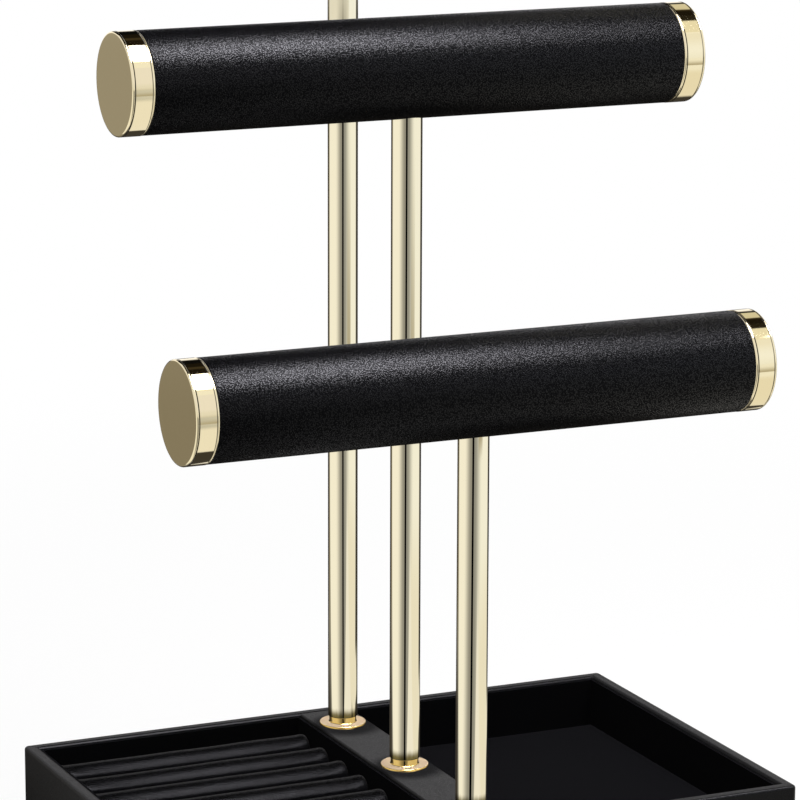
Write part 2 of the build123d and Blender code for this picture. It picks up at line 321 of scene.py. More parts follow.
def card(name, mesh, tone):
    """A card seen only in reflections. tone gives the colour of a point of it."""
    colours = mesh.color_attributes.new("glow", "FLOAT_COLOR", "POINT")
    for vertex, cell in zip(mesh.vertices, colours.data):
        cell.color = (*tone(vertex.co), 1.0)
    piece = link(name, mesh, card_material)
    piece.visible_camera = False
    piece.visible_diffuse = False
    piece.visible_transmission = False
    piece.visible_volume_scatter = False
    piece.visible_shadow = False
    piece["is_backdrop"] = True
    stage_pieces.append(piece)
    return piece


def ease(value, low, high):
    """0 below low, 1 above high, and a smooth rise between them."""
    t = min(max((value - low) / (high - low), 0), 1)
    return t * t * (3 - 2 * t)


def blend_tones(first, second, share):
    """The first tone at share 0, the second at share 1."""
    return tuple(a * (1 - share) + b * share for a, b in zip(first, second))


print("card material:", card_material.name)

# %% [markdown]
# Overhead is what the upper half of each bar and cap mirrors. A bright panel gives the leather
# its highlight. It ends over the right of the stand, and a weaker second one takes over further
# out. Behind them the roof is near black, with one brown streak and one pale corner, and these
# are the dark and brown bands on the caps. A pair of numbers is the stretch, in metres along X
# or Y, over which a tone comes in or goes out.

# %% Panels and roof overhead
ROOF = 1.5
PANEL_X, PANEL_Y = (-0.35, 1.7), (-0.9, 0.14)
PANEL_START, PANEL_END = (-0.35, -0.1), (0.56, 0.62)
PANEL_FRONT, PANEL_BACK = (-0.9, -0.56), (-0.36, 0.06)
PANEL_BACK_SHARE = 0.08
SECOND_START, SECOND_END, SECOND_BACK = (0.9, 0.98), (1.15, 1.3), (-0.25, -0.15)
SECOND_SHARE = 0.7
CORNER_START, CORNER_FRONT = (0.6, 0.64), (-0.2, -0.13)
ROOF_X, ROOF_Y = (-1.6, 2.0), (0.14, 2.24)
STREAK_START, STREAK_END = (0.45, 0.62), (0.68, 0.8)
PALE_START_X, PALE_START_Y = (0.76, 0.82), (0.62, 0.7)
PANEL_TONE = (44.0, 43.2, 47.0)
PANEL_REST = (0.9, 0.87, 0.76)
DARK_CORNER = (0.02, 0.016, 0.009)
ROOF_BLACK = (0.012, 0.009, 0.005)
ROOF_BROWN = (0.05, 0.038, 0.02)
PALE_CORNER = (0.72, 0.68, 0.54)


def between(limits, share):
    """The place this share of the way from the first limit to the second."""
    return limits[0] + (limits[1] - limits[0]) * share


def panel_tone(point):
    """Bright over the first and the second panel, with soft edges, and calm between them."""
    first = ease(point.x, *PANEL_START) * (1 - ease(point.x, *PANEL_END))
    second = ease(point.x, *SECOND_START) * (1 - ease(point.x, *SECOND_END))
    second *= 1 - ease(point.y, *SECOND_BACK)
    front = ease(point.y, *PANEL_FRONT) ** 2
    back = 1 - (1 - PANEL_BACK_SHARE) * ease(point.y, *PANEL_BACK)
    corner = ease(point.x, *CORNER_START) * ease(point.y, *CORNER_FRONT)
    rest = blend_tones(PANEL_REST, DARK_CORNER, corner)
    return blend_tones(rest, PANEL_TONE, (first + SECOND_SHARE * second) * front * back)


def roof_tone(point):
    """Near black, with one brown streak across, and a pale far corner on the right."""
    streak = ease(point.y, *STREAK_START) * (1 - ease(point.y, *STREAK_END))
    corner = ease(point.y, *PALE_START_Y) * ease(point.x, *PALE_START_X)
    return blend_tones(blend_tones(ROOF_BLACK, ROOF_BROWN, streak), PALE_CORNER, corner)


def overhead_mesh(name, across, along, columns, rows):
    """A flat sheet at the height of the roof, between two limits each way."""
    return grid_mesh(name, lambda u, v: (between(across, u), between(along, v), ROOF), columns, rows)


card("bright_panel", overhead_mesh("bright_panel", PANEL_X, PANEL_Y, 82, 36), panel_tone)
card("dark_roof", overhead_mesh("dark_roof", ROOF_X, ROOF_Y, 60, 42), roof_tone)
print("panel from", PANEL_X, PANEL_Y, "at", ROOF)

# %% [markdown]
# The rest of the room is a round table with a wall, cut open at the top. Its tones are drawn by
# direction from where the camera stands, in degrees, negative to the left. A vertical tube
# mirrors every direction, squeezed into its width: the slot in front becomes the fine dark line
# down its middle, the bright sides become its pale flanks, and what lies behind becomes its dark
# outlines. Pairs of numbers are again stretches, in degrees or in metres.

# %% The room in front
CAMERA_SIDE = math.atan2(CAMERA_PLACE.y, CAMERA_PLACE.x)
SLOT_EDGE, SLOT_SHADE = (5.3, 7.8), 0.31
SIDE_RISE, SIDE_SHADE = (12, 62), 0.99
LEFT_TINT, RIGHT_TINT = (1.0, 0.985, 0.965), (0.99, 1.0, 1.01)
WALL_RISE, RIGHT_WALL = (0.2, 0.28), (44, 54)
LEFT_WALL_TONES = [(0.2, (0.73, 0.71, 0.66)), (0.34, (0.87, 0.865, 0.87)), (0.5, (0.93, 0.92, 0.98))]
RIGHT_WALL_TONES = [(0.2, (0.97, 1.0, 1.06)), (0.5, (1.02, 1.06, 1.17)), (1.0, (0.95, 0.95, 0.95))]
WALL_FOOT, WALL_FOOT_TURN, WALL_FOOT_WIDTH = (0.0, 0.2), 50, (10, 20)
WALL_FOOT_TONE = (0.47, 0.43, 0.34)


def front_tone(turn):
    """The table's tone at this many degrees to the right of the camera, as the posts show it."""
    away = abs(turn)
    shade = SLOT_SHADE * ease(away, *SLOT_EDGE) + (SIDE_SHADE - SLOT_SHADE) * ease(away, *SIDE_RISE)
    return tuple(shade * c for c in (LEFT_TINT if turn < 0 else RIGHT_TINT))


def steps_tone(value, stops):
    """The tone at a value, from (value, tone) stops."""
    tone = stops[0][1]
    for (low, _), (high, above) in zip(stops, stops[1:]):
        tone = blend_tones(tone, above, ease(value, low, high))
    return tone


def wall_tone(level, turn):
    """The wall in front: each side has its own tones by height, over a dim foot on the right."""
    left, right = (steps_tone(level, stops) for stops in (LEFT_WALL_TONES, RIGHT_WALL_TONES))
    high = blend_tones(left, right, ease(turn, *RIGHT_WALL))
    tone = blend_tones(front_tone(turn), high, ease(level, *WALL_RISE))
    foot = (1 - ease(level, *WALL_FOOT)) * (1 - ease(abs(turn - WALL_FOOT_TURN), *WALL_FOOT_WIDTH))
    return blend_tones(tone, WALL_FOOT_TONE, foot)


print("the camera looks from", round(math.degrees(CAMERA_SIDE), 1), "degrees")

# %% [markdown]
# Behind the stand the table is dark, the wall is grey at the height that the rims mirror, and
# black above that. On the left the caps look past the stand into this part of the room, so it
# begins at the line that runs from the face of the left caps away from the camera.

# %% The room behind
LEFT_CAP_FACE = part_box("bar_caps_front")[0].x
CAP_RAY = Vector((-0.403, 0.889)).normalized()
REAR_RIGHT_TURN, REAR_LEFT_TURN, REAR_LEFT_LINE = (118, 128), (60, 90), (-0.055, -0.03)
REAR_LEFT_TONE, REAR_LEFT_HIGH = (0.255, 0.228, 0.18), (0.34, 0.312, 0.262)
REAR_LEFT_RISE = (0.02, 0.15)
NEAR_LEFT_TONE, NEAR_LEFT_REACH = (0.3, 0.295, 0.285), (0.35, 0.6)
TABLE_DARK, DARK_LINE = (0.05, 0.045, 0.04), (0.1, 0.2)
REAR_TONE, REAR_RISE = (1.15, 1.13, 1.15), (0.25, 0.33)
BLACK, BLACK_RISE = (0.004, 0.004, 0.004), (0.52, 0.7)
PALE_RISE, PALE_TURN, PALE_TURN_END = (0.76, 0.84), (100, 130), (165, 172)


def behind_tone(point, turn, past_caps):
    """The tone behind the stand. past_caps is how far the point lies right of the caps' line."""
    rear_left = blend_tones(REAR_LEFT_TONE, REAR_LEFT_HIGH, ease(point.z, *REAR_LEFT_RISE))
    near = blend_tones(NEAR_LEFT_TONE, rear_left, ease(point.xy.length, *NEAR_LEFT_REACH))
    low = blend_tones(near, TABLE_DARK, ease(past_caps, *DARK_LINE))
    high = blend_tones(REAR_TONE, BLACK, ease(point.z, *BLACK_RISE))
    pale = ease(point.z, *PALE_RISE) * ease(turn, *PALE_TURN) * (1 - ease(turn, *PALE_TURN_END))
    high = blend_tones(high, PALE_CORNER, pale)
    return blend_tones(low, high, ease(point.z, *REAR_RISE))


print("left caps look along", tuple(round(v, 2) for v in CAP_RAY))

# %% [markdown]
# The undersides of the bars and caps mirror the table close by. It is pale where the caps look, and
# dark under the bars, over the case and in the shadow behind it. The dark patches under the bars and
# over the case are a painted reflection of the dark case, which is left out of reflections, and the one
# behind it is a painted shadow. Each patch is a box on the table with soft sides.

# %% The table close by
NEAR_TONE, NEAR_RIGHT_TONE, NEAR_RIGHT = (0.94, 0.925, 0.92), (0.89, 0.86, 0.79), (0.15, 0.22)
FRONT_LIGHT_SLANT, FRONT_LIGHT_LINE, FRONT_LIGHT_REACH = 0.34, (-0.14, -0.11), (0.5, 0.75)
CASE_SIDE, CASE_FRONT = (-0.006, 0.002), (-0.11, -0.095)
CASE_LINE, CASE_REACH = (0.0, 0.03), (0.3, 0.5)
SHADOW_FRONT, SHADOW_LINE = (0.14, 0.17), (0.12, 0.18)
BARS_SIDE, BARS_FRONT = (0.034, 0.044), (-0.13, -0.08)
BARS_END, BARS_END_REAR, BARS_END_SHIFT, BARS_END_SOFT = 0.222, (0.0, 0.08), 0.05, 0.012
LEFT_PATCH_FRONT = (-0.11, -0.09)
RIGHT_PATCH_END, RIGHT_PATCH_FRONT, RIGHT_PATCH_BACK = (0.34, 0.38), (-0.16, -0.12), (0.12, 0.22)


def soft_box(point, left=None, right=None, front=None, back=None):
    """1 inside a box on the table and 0 outside. Each side is a stretch, and may be left out."""
    share = 1.0
    for value, rise, fall in ((point.x, left, right), (point.y, front, back)):
        if rise:
            share *= ease(value, *rise)
        if fall:
            share *= 1 - ease(value, *fall)
    return share


def near_tone(tone, point, past_caps, rear):
    """The table's tone, with its pale and dark patches. rear is 1 behind the stand."""
    reach = point.xy.length
    light = blend_tones(NEAR_TONE, NEAR_RIGHT_TONE, ease(point.x, *NEAR_RIGHT))
    front_light = ease(point.x + FRONT_LIGHT_SLANT * point.y, *FRONT_LIGHT_LINE) * (1 - rear)
    front_light *= 1 - ease(reach, *FRONT_LIGHT_REACH)
    end = BARS_END + BARS_END_SHIFT * ease(point.y, *BARS_END_REAR)
    bars_end = (end, end + BARS_END_SOFT)
    case = soft_box(point, right=CASE_SIDE, front=CASE_FRONT)
    case *= ease(past_caps, *CASE_LINE) * (1 - ease(reach, *CASE_REACH))
    shadow = soft_box(point, front=SHADOW_FRONT) * ease(past_caps, *SHADOW_LINE)
    bars = soft_box(point, left=BARS_SIDE, right=bars_end, front=BARS_FRONT)
    patches = (
        soft_box(point, CASE_SIDE, BARS_SIDE, LEFT_PATCH_FRONT, SHADOW_FRONT),
        soft_box(point, bars_end, RIGHT_PATCH_END, RIGHT_PATCH_FRONT, RIGHT_PATCH_BACK),
    )
    tone = blend_tones(tone, light, front_light)
    tone = blend_tones(tone, TABLE_DARK, max(case, shadow, bars))
    return blend_tones(tone, light, max(patches))


print("bars end over", BARS_END, "m")

# %% [markdown]
# With the tones known, one function picks the right one for a point of the table or the wall,
# and two fine grids carry them.

# %% Table and wall
TABLE_EDGE = 0.95
WALL_TOP = 1.12
CARD_LEVEL = 0.001
WALL_LEVEL = 0.01


def room_tone(point):
    """The tone of a point of the table, or of the wall round it, which is above WALL_LEVEL."""
    turn = math.degrees(math.remainder(math.atan2(point.y, point.x) - CAMERA_SIDE, math.tau))
    past_caps = (point.x - LEFT_CAP_FACE) * CAP_RAY.y - point.y * CAP_RAY.x
    if turn > 0:
        rear = ease(turn, *REAR_RIGHT_TURN)
    else:
        rear = ease(past_caps, *REAR_LEFT_LINE) * ease(-turn, *REAR_LEFT_TURN)
    on_wall = point.z > WALL_LEVEL
    tone = wall_tone(point.z, turn) if on_wall else front_tone(turn)
    tone = blend_tones(tone, behind_tone(point, turn, past_caps), rear)
    return tone if on_wall else near_tone(tone, point, past_caps, rear)


def table_point(u, v):
    """A point of the table: u is the share of a turn, v the share of the radius."""
    turn, reach = CAMERA_SIDE + math.tau * u, TABLE_EDGE * v
    return (reach * math.cos(turn), reach * math.sin(turn), CARD_LEVEL)


def wall_point(u, v):
    """A point of the wall: u is the share of a turn, v the share of the height."""
    turn = CAMERA_SIDE + math.tau * u
    return (TABLE_EDGE * math.cos(turn), TABLE_EDGE * math.sin(turn), CARD_LEVEL + WALL_TOP * v)


card("table_tones", grid_mesh("table_tones", table_point, 360, 190, closed=True), room_tone)
card("wall_tones", grid_mesh("wall_tones", wall_point, 360, 80, closed=True), room_tone)
print("cards:", len(stage_pieces) - 1)

# %% [markdown]
# ## Black PU leather
# The bars, the case and the ring rolls are covered in polyurethane leather: a fabric with a black
# plastic skin, pressed with a fine pebble grain. The pebbles are what the eye sees, as specks in
# the highlight. A Voronoi pattern gives each one as a low dome, whose width and height are set in
# real millimetres, and noise makes the domes uneven.

# %% The pebble grain
DOME_REACH = 0.8
UNEVENNESS = 0.5
UNEVEN_WIDTH = 0.625


def pebbles(tree, place, pebble):
    """How far a point is from the middle of its pebble, and the height of its dome, 0 to 1."""
    cells = add_node(
        tree, "ShaderNodeTexVoronoi", {"feature": "F1"},
        {"Vector": place, "Scale": 1 / (pebble * MM), "Randomness": 0.9},
    )
    dome = add_node(
        tree, "ShaderNodeMapRange", {"interpolation_type": "SMOOTHSTEP"},
        {"Value": cells.outputs["Distance"], "From Min": 0.0, "From Max": DOME_REACH,
         "To Min": 1.0, "To Max": 0.0},
    )
    return cells.outputs["Distance"], dome.outputs[0]


def pebble_bump(tree, place, pebble, relief, dome):
    """The bump of the domes, made uneven by noise a little finer than they are."""
    noise_height = add_node(
        tree, "ShaderNodeTexNoise", None,
        {"Vector": place, "Scale": 1 / (UNEVEN_WIDTH * pebble * MM), "Detail": 2.0, "Roughness": 0.6},
    )
    height = add_node(
        tree, "ShaderNodeMath", {"operation": "MULTIPLY_ADD"},
        {0: noise_height.outputs["Fac"], 1: UNEVENNESS, 2: dome},
    )
    return add_node(
        tree, "ShaderNodeBump", None,
        {"Height": height.outputs[0], "Distance": relief * MM, "Strength": 1.0},
    ).outputs["Normal"]


print("noise is", UNEVEN_WIDTH, "of a pebble wide")

# %% [markdown]
# Some places are dull all over. Inside the trays the walls are dull black. This is partly a dull lining
# and partly painted shade, standing in for the dark tray that they would mirror, and it also dims the
# inner round of the rims. The gaps between the rolls are dull black as painted shade. On the strip, a
# soft dull ring round each post stands for the dark mirror image of its foot, because here no piece
# mirrors another. Both need a mask that asks where on the stand a point is.

# %% Where the leather is dull
RING_SHADE = 0.8
RING_SHIFT = 3.0
RING_FADE = (10.0, 19.0)


def near_posts(tree, place, pitch):
    """RING_SHADE next to a post and 0 further out. The posts stand along Y, at this pitch in mm."""
    where = add_node(tree, "ShaderNodeSeparateXYZ", None, {0: place})
    along = add_node(
        tree, "ShaderNodeMath", {"operation": "WRAP"},
        {0: where.outputs["Y"], 1: pitch / 2 * MM, 2: -pitch / 2 * MM},
    )
    forward = add_node(
        tree, "ShaderNodeMath", {"operation": "ADD"}, {0: along.outputs[0], 1: RING_SHIFT * MM}
    )
    flat = add_node(
        tree, "ShaderNodeCombineXYZ", None, {0: where.outputs["X"], 1: forward.outputs[0]}
    )
    away = add_node(tree, "ShaderNodeVectorMath", {"operation": "LENGTH"}, {0: flat.outputs[0]})
    return add_node(
        tree, "ShaderNodeMapRange", {"interpolation_type": "SMOOTHSTEP"},
        {"Value": away.outputs["Value"], "From Min": RING_FADE[0] * MM, "From Max": RING_FADE[1] * MM,
         "To Min": RING_SHADE, "To Max": 0.0},
    ).outputs[0]


def in_painted_shade_box(tree, place, half_x, half_y, low, high):
    """The painted shade mask: 1 inside this half width and half depth below the low level, and 0 above
    the high one.
    """
    where = add_node(tree, "ShaderNodeSeparateXYZ", None, {0: place})
    shade_mask = add_node(
        tree, "ShaderNodeMapRange", None,
        {"Value": where.outputs["Z"], "From Min": low * MM, "From Max": high * MM,
         "To Min": 1.0, "To Max": 0.0},
    ).outputs[0]
    for axis, limit in (("X", half_x), ("Y", half_y)):
        across = add_node(
            tree, "ShaderNodeMath", {"operation": "ABSOLUTE"}, {0: where.outputs[axis]}
        )
        inside = add_node(
            tree, "ShaderNodeMath", {"operation": "LESS_THAN"}, {0: across.outputs[0], 1: limit * MM}
        )
        shade_mask = add_node(
            tree, "ShaderNodeMath", {"operation": "MULTIPLY"}, {0: shade_mask, 1: inside.outputs[0]}
        ).outputs[0]
    return shade_mask


print("dull rings fade out from", RING_FADE[0], "to", RING_FADE[1], "mm")

# %% [markdown]
# The leather is then a mix of two finishes, a half glossy skin and a dull one. It follows whatever is
# dullest at a point: the valley between the pebbles, the painted shade in the trays and between the
# rolls, or the ring round a post. The skin's roughness also drops a little on top of each pebble, where
# it was rubbed.

# %% Leather
VALLEY = (0.25, 0.6)
ROUGHER, SMOOTHER = 0.1, 0.03


def pu_leather(name, pebble, relief, roughness, gloss, dull_valleys=0.0, painted_shade_box=None, post_pitch=None):
    """Black PU leather. pebble and relief are the grain's width and height in mm, dull_valleys is how
    dull it is between the pebbles, up to 1, painted_shade_box is what in_painted_shade_box takes, in
    mm, for a place of painted shade, and post_pitch is given where posts stand on the leather."""
    material, tree = new_material(name)
    place = add_node(tree, "ShaderNodeTexCoord").outputs["Object"]
    distance, dome = pebbles(tree, place, pebble)
    bump = pebble_bump(tree, place, pebble, relief, dome)
    polish = add_node(
        tree, "ShaderNodeMapRange", None,
        {"Value": dome, "To Min": roughness + ROUGHER, "To Max": roughness - SMOOTHER},
    )
    skin = add_node(tree, "ShaderNodeValToRGB", None, {"Fac": dome})
    skin.color_ramp.elements[0].color = linear("#040405")
    skin.color_ramp.elements[1].color = linear("#09090A")
    finish = add_node(
        tree, "ShaderNodeBsdfPrincipled", None,
        {"Base Color": skin.outputs["Color"], "Roughness": polish.outputs[0],
         "Specular IOR Level": gloss, "Normal": bump},
    )
    dull = add_node(
        tree, "ShaderNodeBsdfPrincipled", None,
        {"Base Color": linear("#030304"), "Roughness": 0.8, "Specular IOR Level": 0.02, "Normal": bump},
    )
    share = add_node(
        tree, "ShaderNodeMapRange", {"interpolation_type": "SMOOTHSTEP"},
        {"Value": distance, "From Min": VALLEY[0], "From Max": VALLEY[1],
         "To Min": 0.0, "To Max": dull_valleys},
    ).outputs[0]
    dull_places = [in_painted_shade_box(tree, place, *painted_shade_box)] if painted_shade_box else []
    if post_pitch:
        dull_places.append(near_posts(tree, place, post_pitch))
    for mask in dull_places:
        share = add_node(
            tree, "ShaderNodeMath", {"operation": "MAXIMUM"}, {0: share, 1: mask}
        ).outputs[0]
    surface = add_node(
        tree, "ShaderNodeMixShader", None, {0: share, 1: finish.outputs[0], 2: dull.outputs[0]}
    )
    add_node(tree, "ShaderNodeOutputMaterial", None, {"Surface": surface.outputs[0]})
    return material


print("a pebble's top is", round(ROUGHER + SMOOTHER, 2), "less rough than its valley")

# %% [markdown]
# The same leather comes in three finishes. The size of the places with painted shade is read from the
# model: inside the trays it ends a little outside the walls' inner faces, on their rounded tops, and on
# the rolls it covers what lies a few millimetres under the crest.

# %% The three leathers
SHADE_OVER_RIM = 1.3
ROLL_SHADE_BELOW, ROLL_GLOSS_FROM = 4.4, 2.4
EVERYWHERE = 200

inner_x, inner_y = -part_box("left_wall")[1].x / MM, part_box("back_wall")[0].y / MM
rim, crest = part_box("back_wall")[1].z / MM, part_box("ring_roll_1")[1].z / MM
# Shaped round the bars: a small, deep pebble that breaks the highlight into fine specks.
bar_leather = pu_leather(
    "pu_leather_bars", pebble=0.56, relief=0.056, roughness=0.23, gloss=0.185, dull_valleys=0.85
)
# Stretched flat over the boards: a wider, shallower pebble, calmer and less shiny, with painted shade
# inside the trays.
case_leather = pu_leather(
    "pu_leather_case", pebble=0.75, relief=0.025, roughness=0.27, gloss=0.12,
    painted_shade_box=(inner_x + SHADE_OVER_RIM, inner_y + SHADE_OVER_RIM, rim - SHADE_OVER_RIM, rim),
    post_pitch=(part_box("post_rear")[0].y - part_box("post_middle")[0].y) / MM,
)
# Soft over foam: nearly matt, and dull black down between the rolls, which is painted shade.
roll_leather = pu_leather(
    "pu_leather_rolls", pebble=0.75, relief=0.05, roughness=0.24, gloss=0.035,
    painted_shade_box=(EVERYWHERE, EVERYWHERE, crest - ROLL_SHADE_BELOW, crest - ROLL_GLOSS_FROM),
)
print("leathers:", bar_leather.name, case_leather.name, roll_leather.name)

# %% [markdown]
# ## Plated metal
# Posts, end caps and knob are steel with a pale champagne-gold plating, polished on the wheel. A
# metal's colour is the colour of its reflections, so it is set bright. Its only texture is a
# trace of how it was made: rings round the axis, wide and faint on the drawn tube and a few
# tenths of a millimetre on the turned pieces. They smear a reflection a little.

# %% Turning lines
RING_STRETCH = 0.02


def turning_lines(tree, line_width, line_depth, axis):
    """Bump from fine rings round axis 0, 1 or 2 of the model. Width and depth are in mm."""
    place = add_node(tree, "ShaderNodeTexCoord").outputs["Object"]
    squeeze = [1.0 if i == axis else RING_STRETCH for i in range(3)]
    lines = add_node(
        tree, "ShaderNodeVectorMath", {"operation": "MULTIPLY"}, {0: place, 1: squeeze}
    )
    rings = add_node(
        tree, "ShaderNodeTexNoise", None,
        {"Vector": lines.outputs[0], "Scale": 1 / (line_width * MM), "Detail": 2.0},
    )
    return add_node(
        tree, "ShaderNodeBump", None,
        {"Height": rings.outputs["Fac"], "Distance": line_depth * MM, "Strength": 1.0},
    ).outputs["Normal"]


print("a ring is", round(1 / RING_STRETCH), "times as long as it is wide")

# %% [markdown]
# Plating is coloured dark along some lines: along the two grooves of each cap, and at the foot of each
# post. At the foot the dark band is painted shade, standing in for the dark strip and flange that the
# foot would mirror. A mask follows each of these lines, and noise drawn out along the axis lets it run
# out in streaks.

# %% Painted dark lines
STREAK_STRETCH = 0.1
STREAK_WIDTH = 1.2
PAINTED_LINE_RISE = (0.2, 1.0)


def painted_dark_lines(tree, axis, lines, unevenness):
    """1 at the middle of each dull line, a (place, half width) in mm along the axis, and 0 beside
    it. The more uneven it is, the more it runs out in streaks."""
    place = add_node(tree, "ShaderNodeTexCoord").outputs["Object"]
    where = add_node(tree, "ShaderNodeSeparateXYZ", None, {0: place})
    along = add_node(tree, "ShaderNodeMath", {"operation": "ABSOLUTE"}, {0: where.outputs[axis]})
    dull = 0.0
    for middle, half in lines:
        away = add_node(
            tree, "ShaderNodeMath", {"operation": "SUBTRACT"}, {0: along.outputs[0], 1: middle * MM}
        )
        away = add_node(tree, "ShaderNodeMath", {"operation": "ABSOLUTE"}, {0: away.outputs[0]})
        line = add_node(
            tree, "ShaderNodeMapRange", {"interpolation_type": "SMOOTHSTEP"},
            {"Value": away.outputs[0], "From Min": 0.0, "From Max": half * MM,
             "To Min": 1.0, "To Max": 0.0},
        )
        dull = add_node(
            tree, "ShaderNodeMath", {"operation": "MAXIMUM"}, {0: dull, 1: line.outputs[0]}
        ).outputs[0]
    squeeze = [STREAK_STRETCH if i == axis else 1.0 for i in range(3)]
    drawn = add_node(
        tree, "ShaderNodeVectorMath", {"operation": "MULTIPLY"}, {0: place, 1: squeeze}
    )
    streaks = add_node(
        tree, "ShaderNodeTexNoise", None,
        {"Vector": drawn.outputs[0], "Scale": 1 / (STREAK_WIDTH * MM), "Detail": 3.0},
    )
    uneven = add_node(
        tree, "ShaderNodeMath", {"operation": "MULTIPLY_ADD"},
        {0: streaks.outputs["Fac"], 1: unevenness, 2: -0.5 * unevenness},
    )
    both = add_node(tree, "ShaderNodeMath", {"operation": "ADD"}, {0: dull, 1: uneven.outputs[0]})
    return add_node(
        tree, "ShaderNodeMapRange", {"interpolation_type": "SMOOTHSTEP"},
        {"Value": both.outputs[0], "From Min": PAINTED_LINE_RISE[0], "From Max": PAINTED_LINE_RISE[1]},
    ).outputs[0]


print("streaks are", STREAK_WIDTH, "mm wide")

# %% [markdown]
# Two kinds of plating are needed. One is polished all over, with painted dark lines along its dull
# lines. The other is for the feet, whose flat top is satin and pinkish while the collar and the rim are
# polished gold, so that finish asks how far the surface faces upward. The collar's deeper yellow is
# partly painted reflection: it stands in for the light that the hollow collar would mirror twice.

# %% Plating
MIX_FIRST, MIX_SECOND, MIX_RESULT = 6, 7, 2  # a Mix node's sockets for colours
UPWARD = (0.8, 0.98)


def plated_metal(
    name, colour, roughness, line_width, line_depth, axis, dull_lines=(), dull="#000000", unevenness=0.0
):
    """Polished plating with faint turning lines, and painted dark lines along the dull lines."""
    material, tree = new_material(name)
    tone = linear(colour)
    if dull_lines:
        tone = add_node(
            tree, "ShaderNodeMix", {"data_type": "RGBA"},
            {"Factor": painted_dark_lines(tree, axis, dull_lines, unevenness),
             MIX_FIRST: linear(colour), MIX_SECOND: linear(dull)},
        ).outputs[MIX_RESULT]
    finish = add_node(
        tree, "ShaderNodeBsdfPrincipled", None,
        {"Base Color": tone, "Metallic": 1.0, "Roughness": roughness,
         "Normal": turning_lines(tree, line_width, line_depth, axis)},
    )
    add_node(tree, "ShaderNodeOutputMaterial", None, {"Surface": finish.outputs[0]})
    return material


def foot_plating_with_painted_reflection(name, face, side, face_roughness, side_roughness):
    """A turned foot: one colour and roughness for its flat top, others for its collar and rim, whose
    deeper yellow is partly painted reflection.
    """
    material, tree = new_material(name)
    facing = add_node(tree, "ShaderNodeNewGeometry").outputs["Normal"]
    upward = add_node(tree, "ShaderNodeSeparateXYZ", None, {0: facing})
    flat = add_node(
        tree, "ShaderNodeMapRange", None,
        {"Value": upward.outputs["Z"], "From Min": UPWARD[0], "From Max": UPWARD[1]},
    )
    tone = add_node(
        tree, "ShaderNodeMix", {"data_type": "RGBA"},
        {"Factor": flat.outputs[0], MIX_FIRST: linear(side), MIX_SECOND: linear(face)},
    )
    gloss = add_node(
        tree, "ShaderNodeMapRange", None,
        {"Value": flat.outputs[0], "To Min": side_roughness, "To Max": face_roughness},
    )
    finish = add_node(
        tree, "ShaderNodeBsdfPrincipled", None,
        {"Base Color": tone.outputs[MIX_RESULT], "Metallic": 1.0, "Roughness": gloss.outputs[0],
         "Normal": turning_lines(tree, line_width=0.4, line_depth=0.002, axis=2)},
    )
    add_node(tree, "ShaderNodeOutputMaterial", None, {"Surface": finish.outputs[0]})
    return material


print("flat tops face up by", UPWARD[1], "or more")

# %% [markdown]
# The caps are plated a shade yellower than the posts, and dark in their two grooves. The dull
# lines are placed from the model: the top of the foot's collar, and the ends of the caps.

# %% The metals
BOSS_TOP = 3.6
FOOT_SHADE_HALF = 6.5
GROOVES = (1.15, 8.0)
GROOVE_HALF = 0.42

rail_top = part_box("post_rail")[1].z / MM
cap_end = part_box("bar_caps_front")[1].x / MM
# Drawn steel tube, plated and polished: a clear mirror with fine bands along it, and a dark band
# painted at its foot as shade.
post_metal = plated_metal(
    "champagne_plated_tube", "#F5EDD0", roughness=0.03, line_width=4.0, line_depth=0.0003, axis=2,
    dull_lines=[(rail_top + BOSS_TOP, FOOT_SHADE_HALF)], dull="#6E6238", unevenness=0.4,
)
# Turned steel cup, plated: a slightly softer mirror, framed by the two dark grooves.
cap_metal = plated_metal(
    "champagne_plated_cap", "#F3E6BE", roughness=0.05, line_width=0.4, line_depth=0.0001, axis=0,
    dull_lines=[(cap_end - inward, GROOVE_HALF) for inward in GROOVES], dull="#0B0904",
)
# Turned steel foot, plated: warm satin on top, with a bright line round its collar and rim, and a
# deeper yellow on the collar that is partly painted reflection.
flange_metal = foot_plating_with_painted_reflection(
    "warm_gold_plated_foot", face="#ECD3AC", side="#DDBC70", face_roughness=0.44, side_roughness=0.1
)
# Zinc-plated screws and bolts: a cool grey that shines without a clear reflection.
zinc = plated_metal(
    "zinc_plated_steel", "#C6C7C9", roughness=0.32, line_width=0.2, line_depth=0.002, axis=2
)
print("metals:", post_metal.name, cap_metal.name, flange_metal.name, zinc.name)

# %% [markdown]
# ## Velvet, felt and paper
# The trays and the drawer are lined with black velvet, the underside is needle felt, and the
# boards inside are covered in black paper. All three are fibres seen end on or lying flat. Noise
# gives their speckle, and the shader's sheen layer gives the pale edge of a pile, which is
# hardly there on this short velvet.

# %% Fibre finishes
def fibres(name, colour, pile, relief, sheen, roughness, gloss):
    """A surface of fibres: pile and relief are its speckle and height in mm."""
    material, tree = new_material(name)
    place = add_node(tree, "ShaderNodeTexCoord").outputs["Object"]
    tufts = add_node(
        tree, "ShaderNodeTexNoise", None,
        {"Vector": place, "Scale": 1 / (pile * MM), "Detail": 4.0, "Roughness": 0.65},
    )
    bump = add_node(
        tree, "ShaderNodeBump", None,
        {"Height": tufts.outputs["Fac"], "Distance": relief * MM, "Strength": 1.0},
    )
    finish = add_node(
        tree, "ShaderNodeBsdfPrincipled", None,
        {"Base Color": linear(colour), "Roughness": roughness, "Specular IOR Level": gloss,
         "Sheen Weight": sheen, "Sheen Roughness": 0.35, "Sheen Tint": linear("#9A9AA0"),
         "Normal": bump.outputs["Normal"]},
    )
    add_node(tree, "ShaderNodeOutputMaterial", None, {"Surface": finish.outputs[0]})
    return material


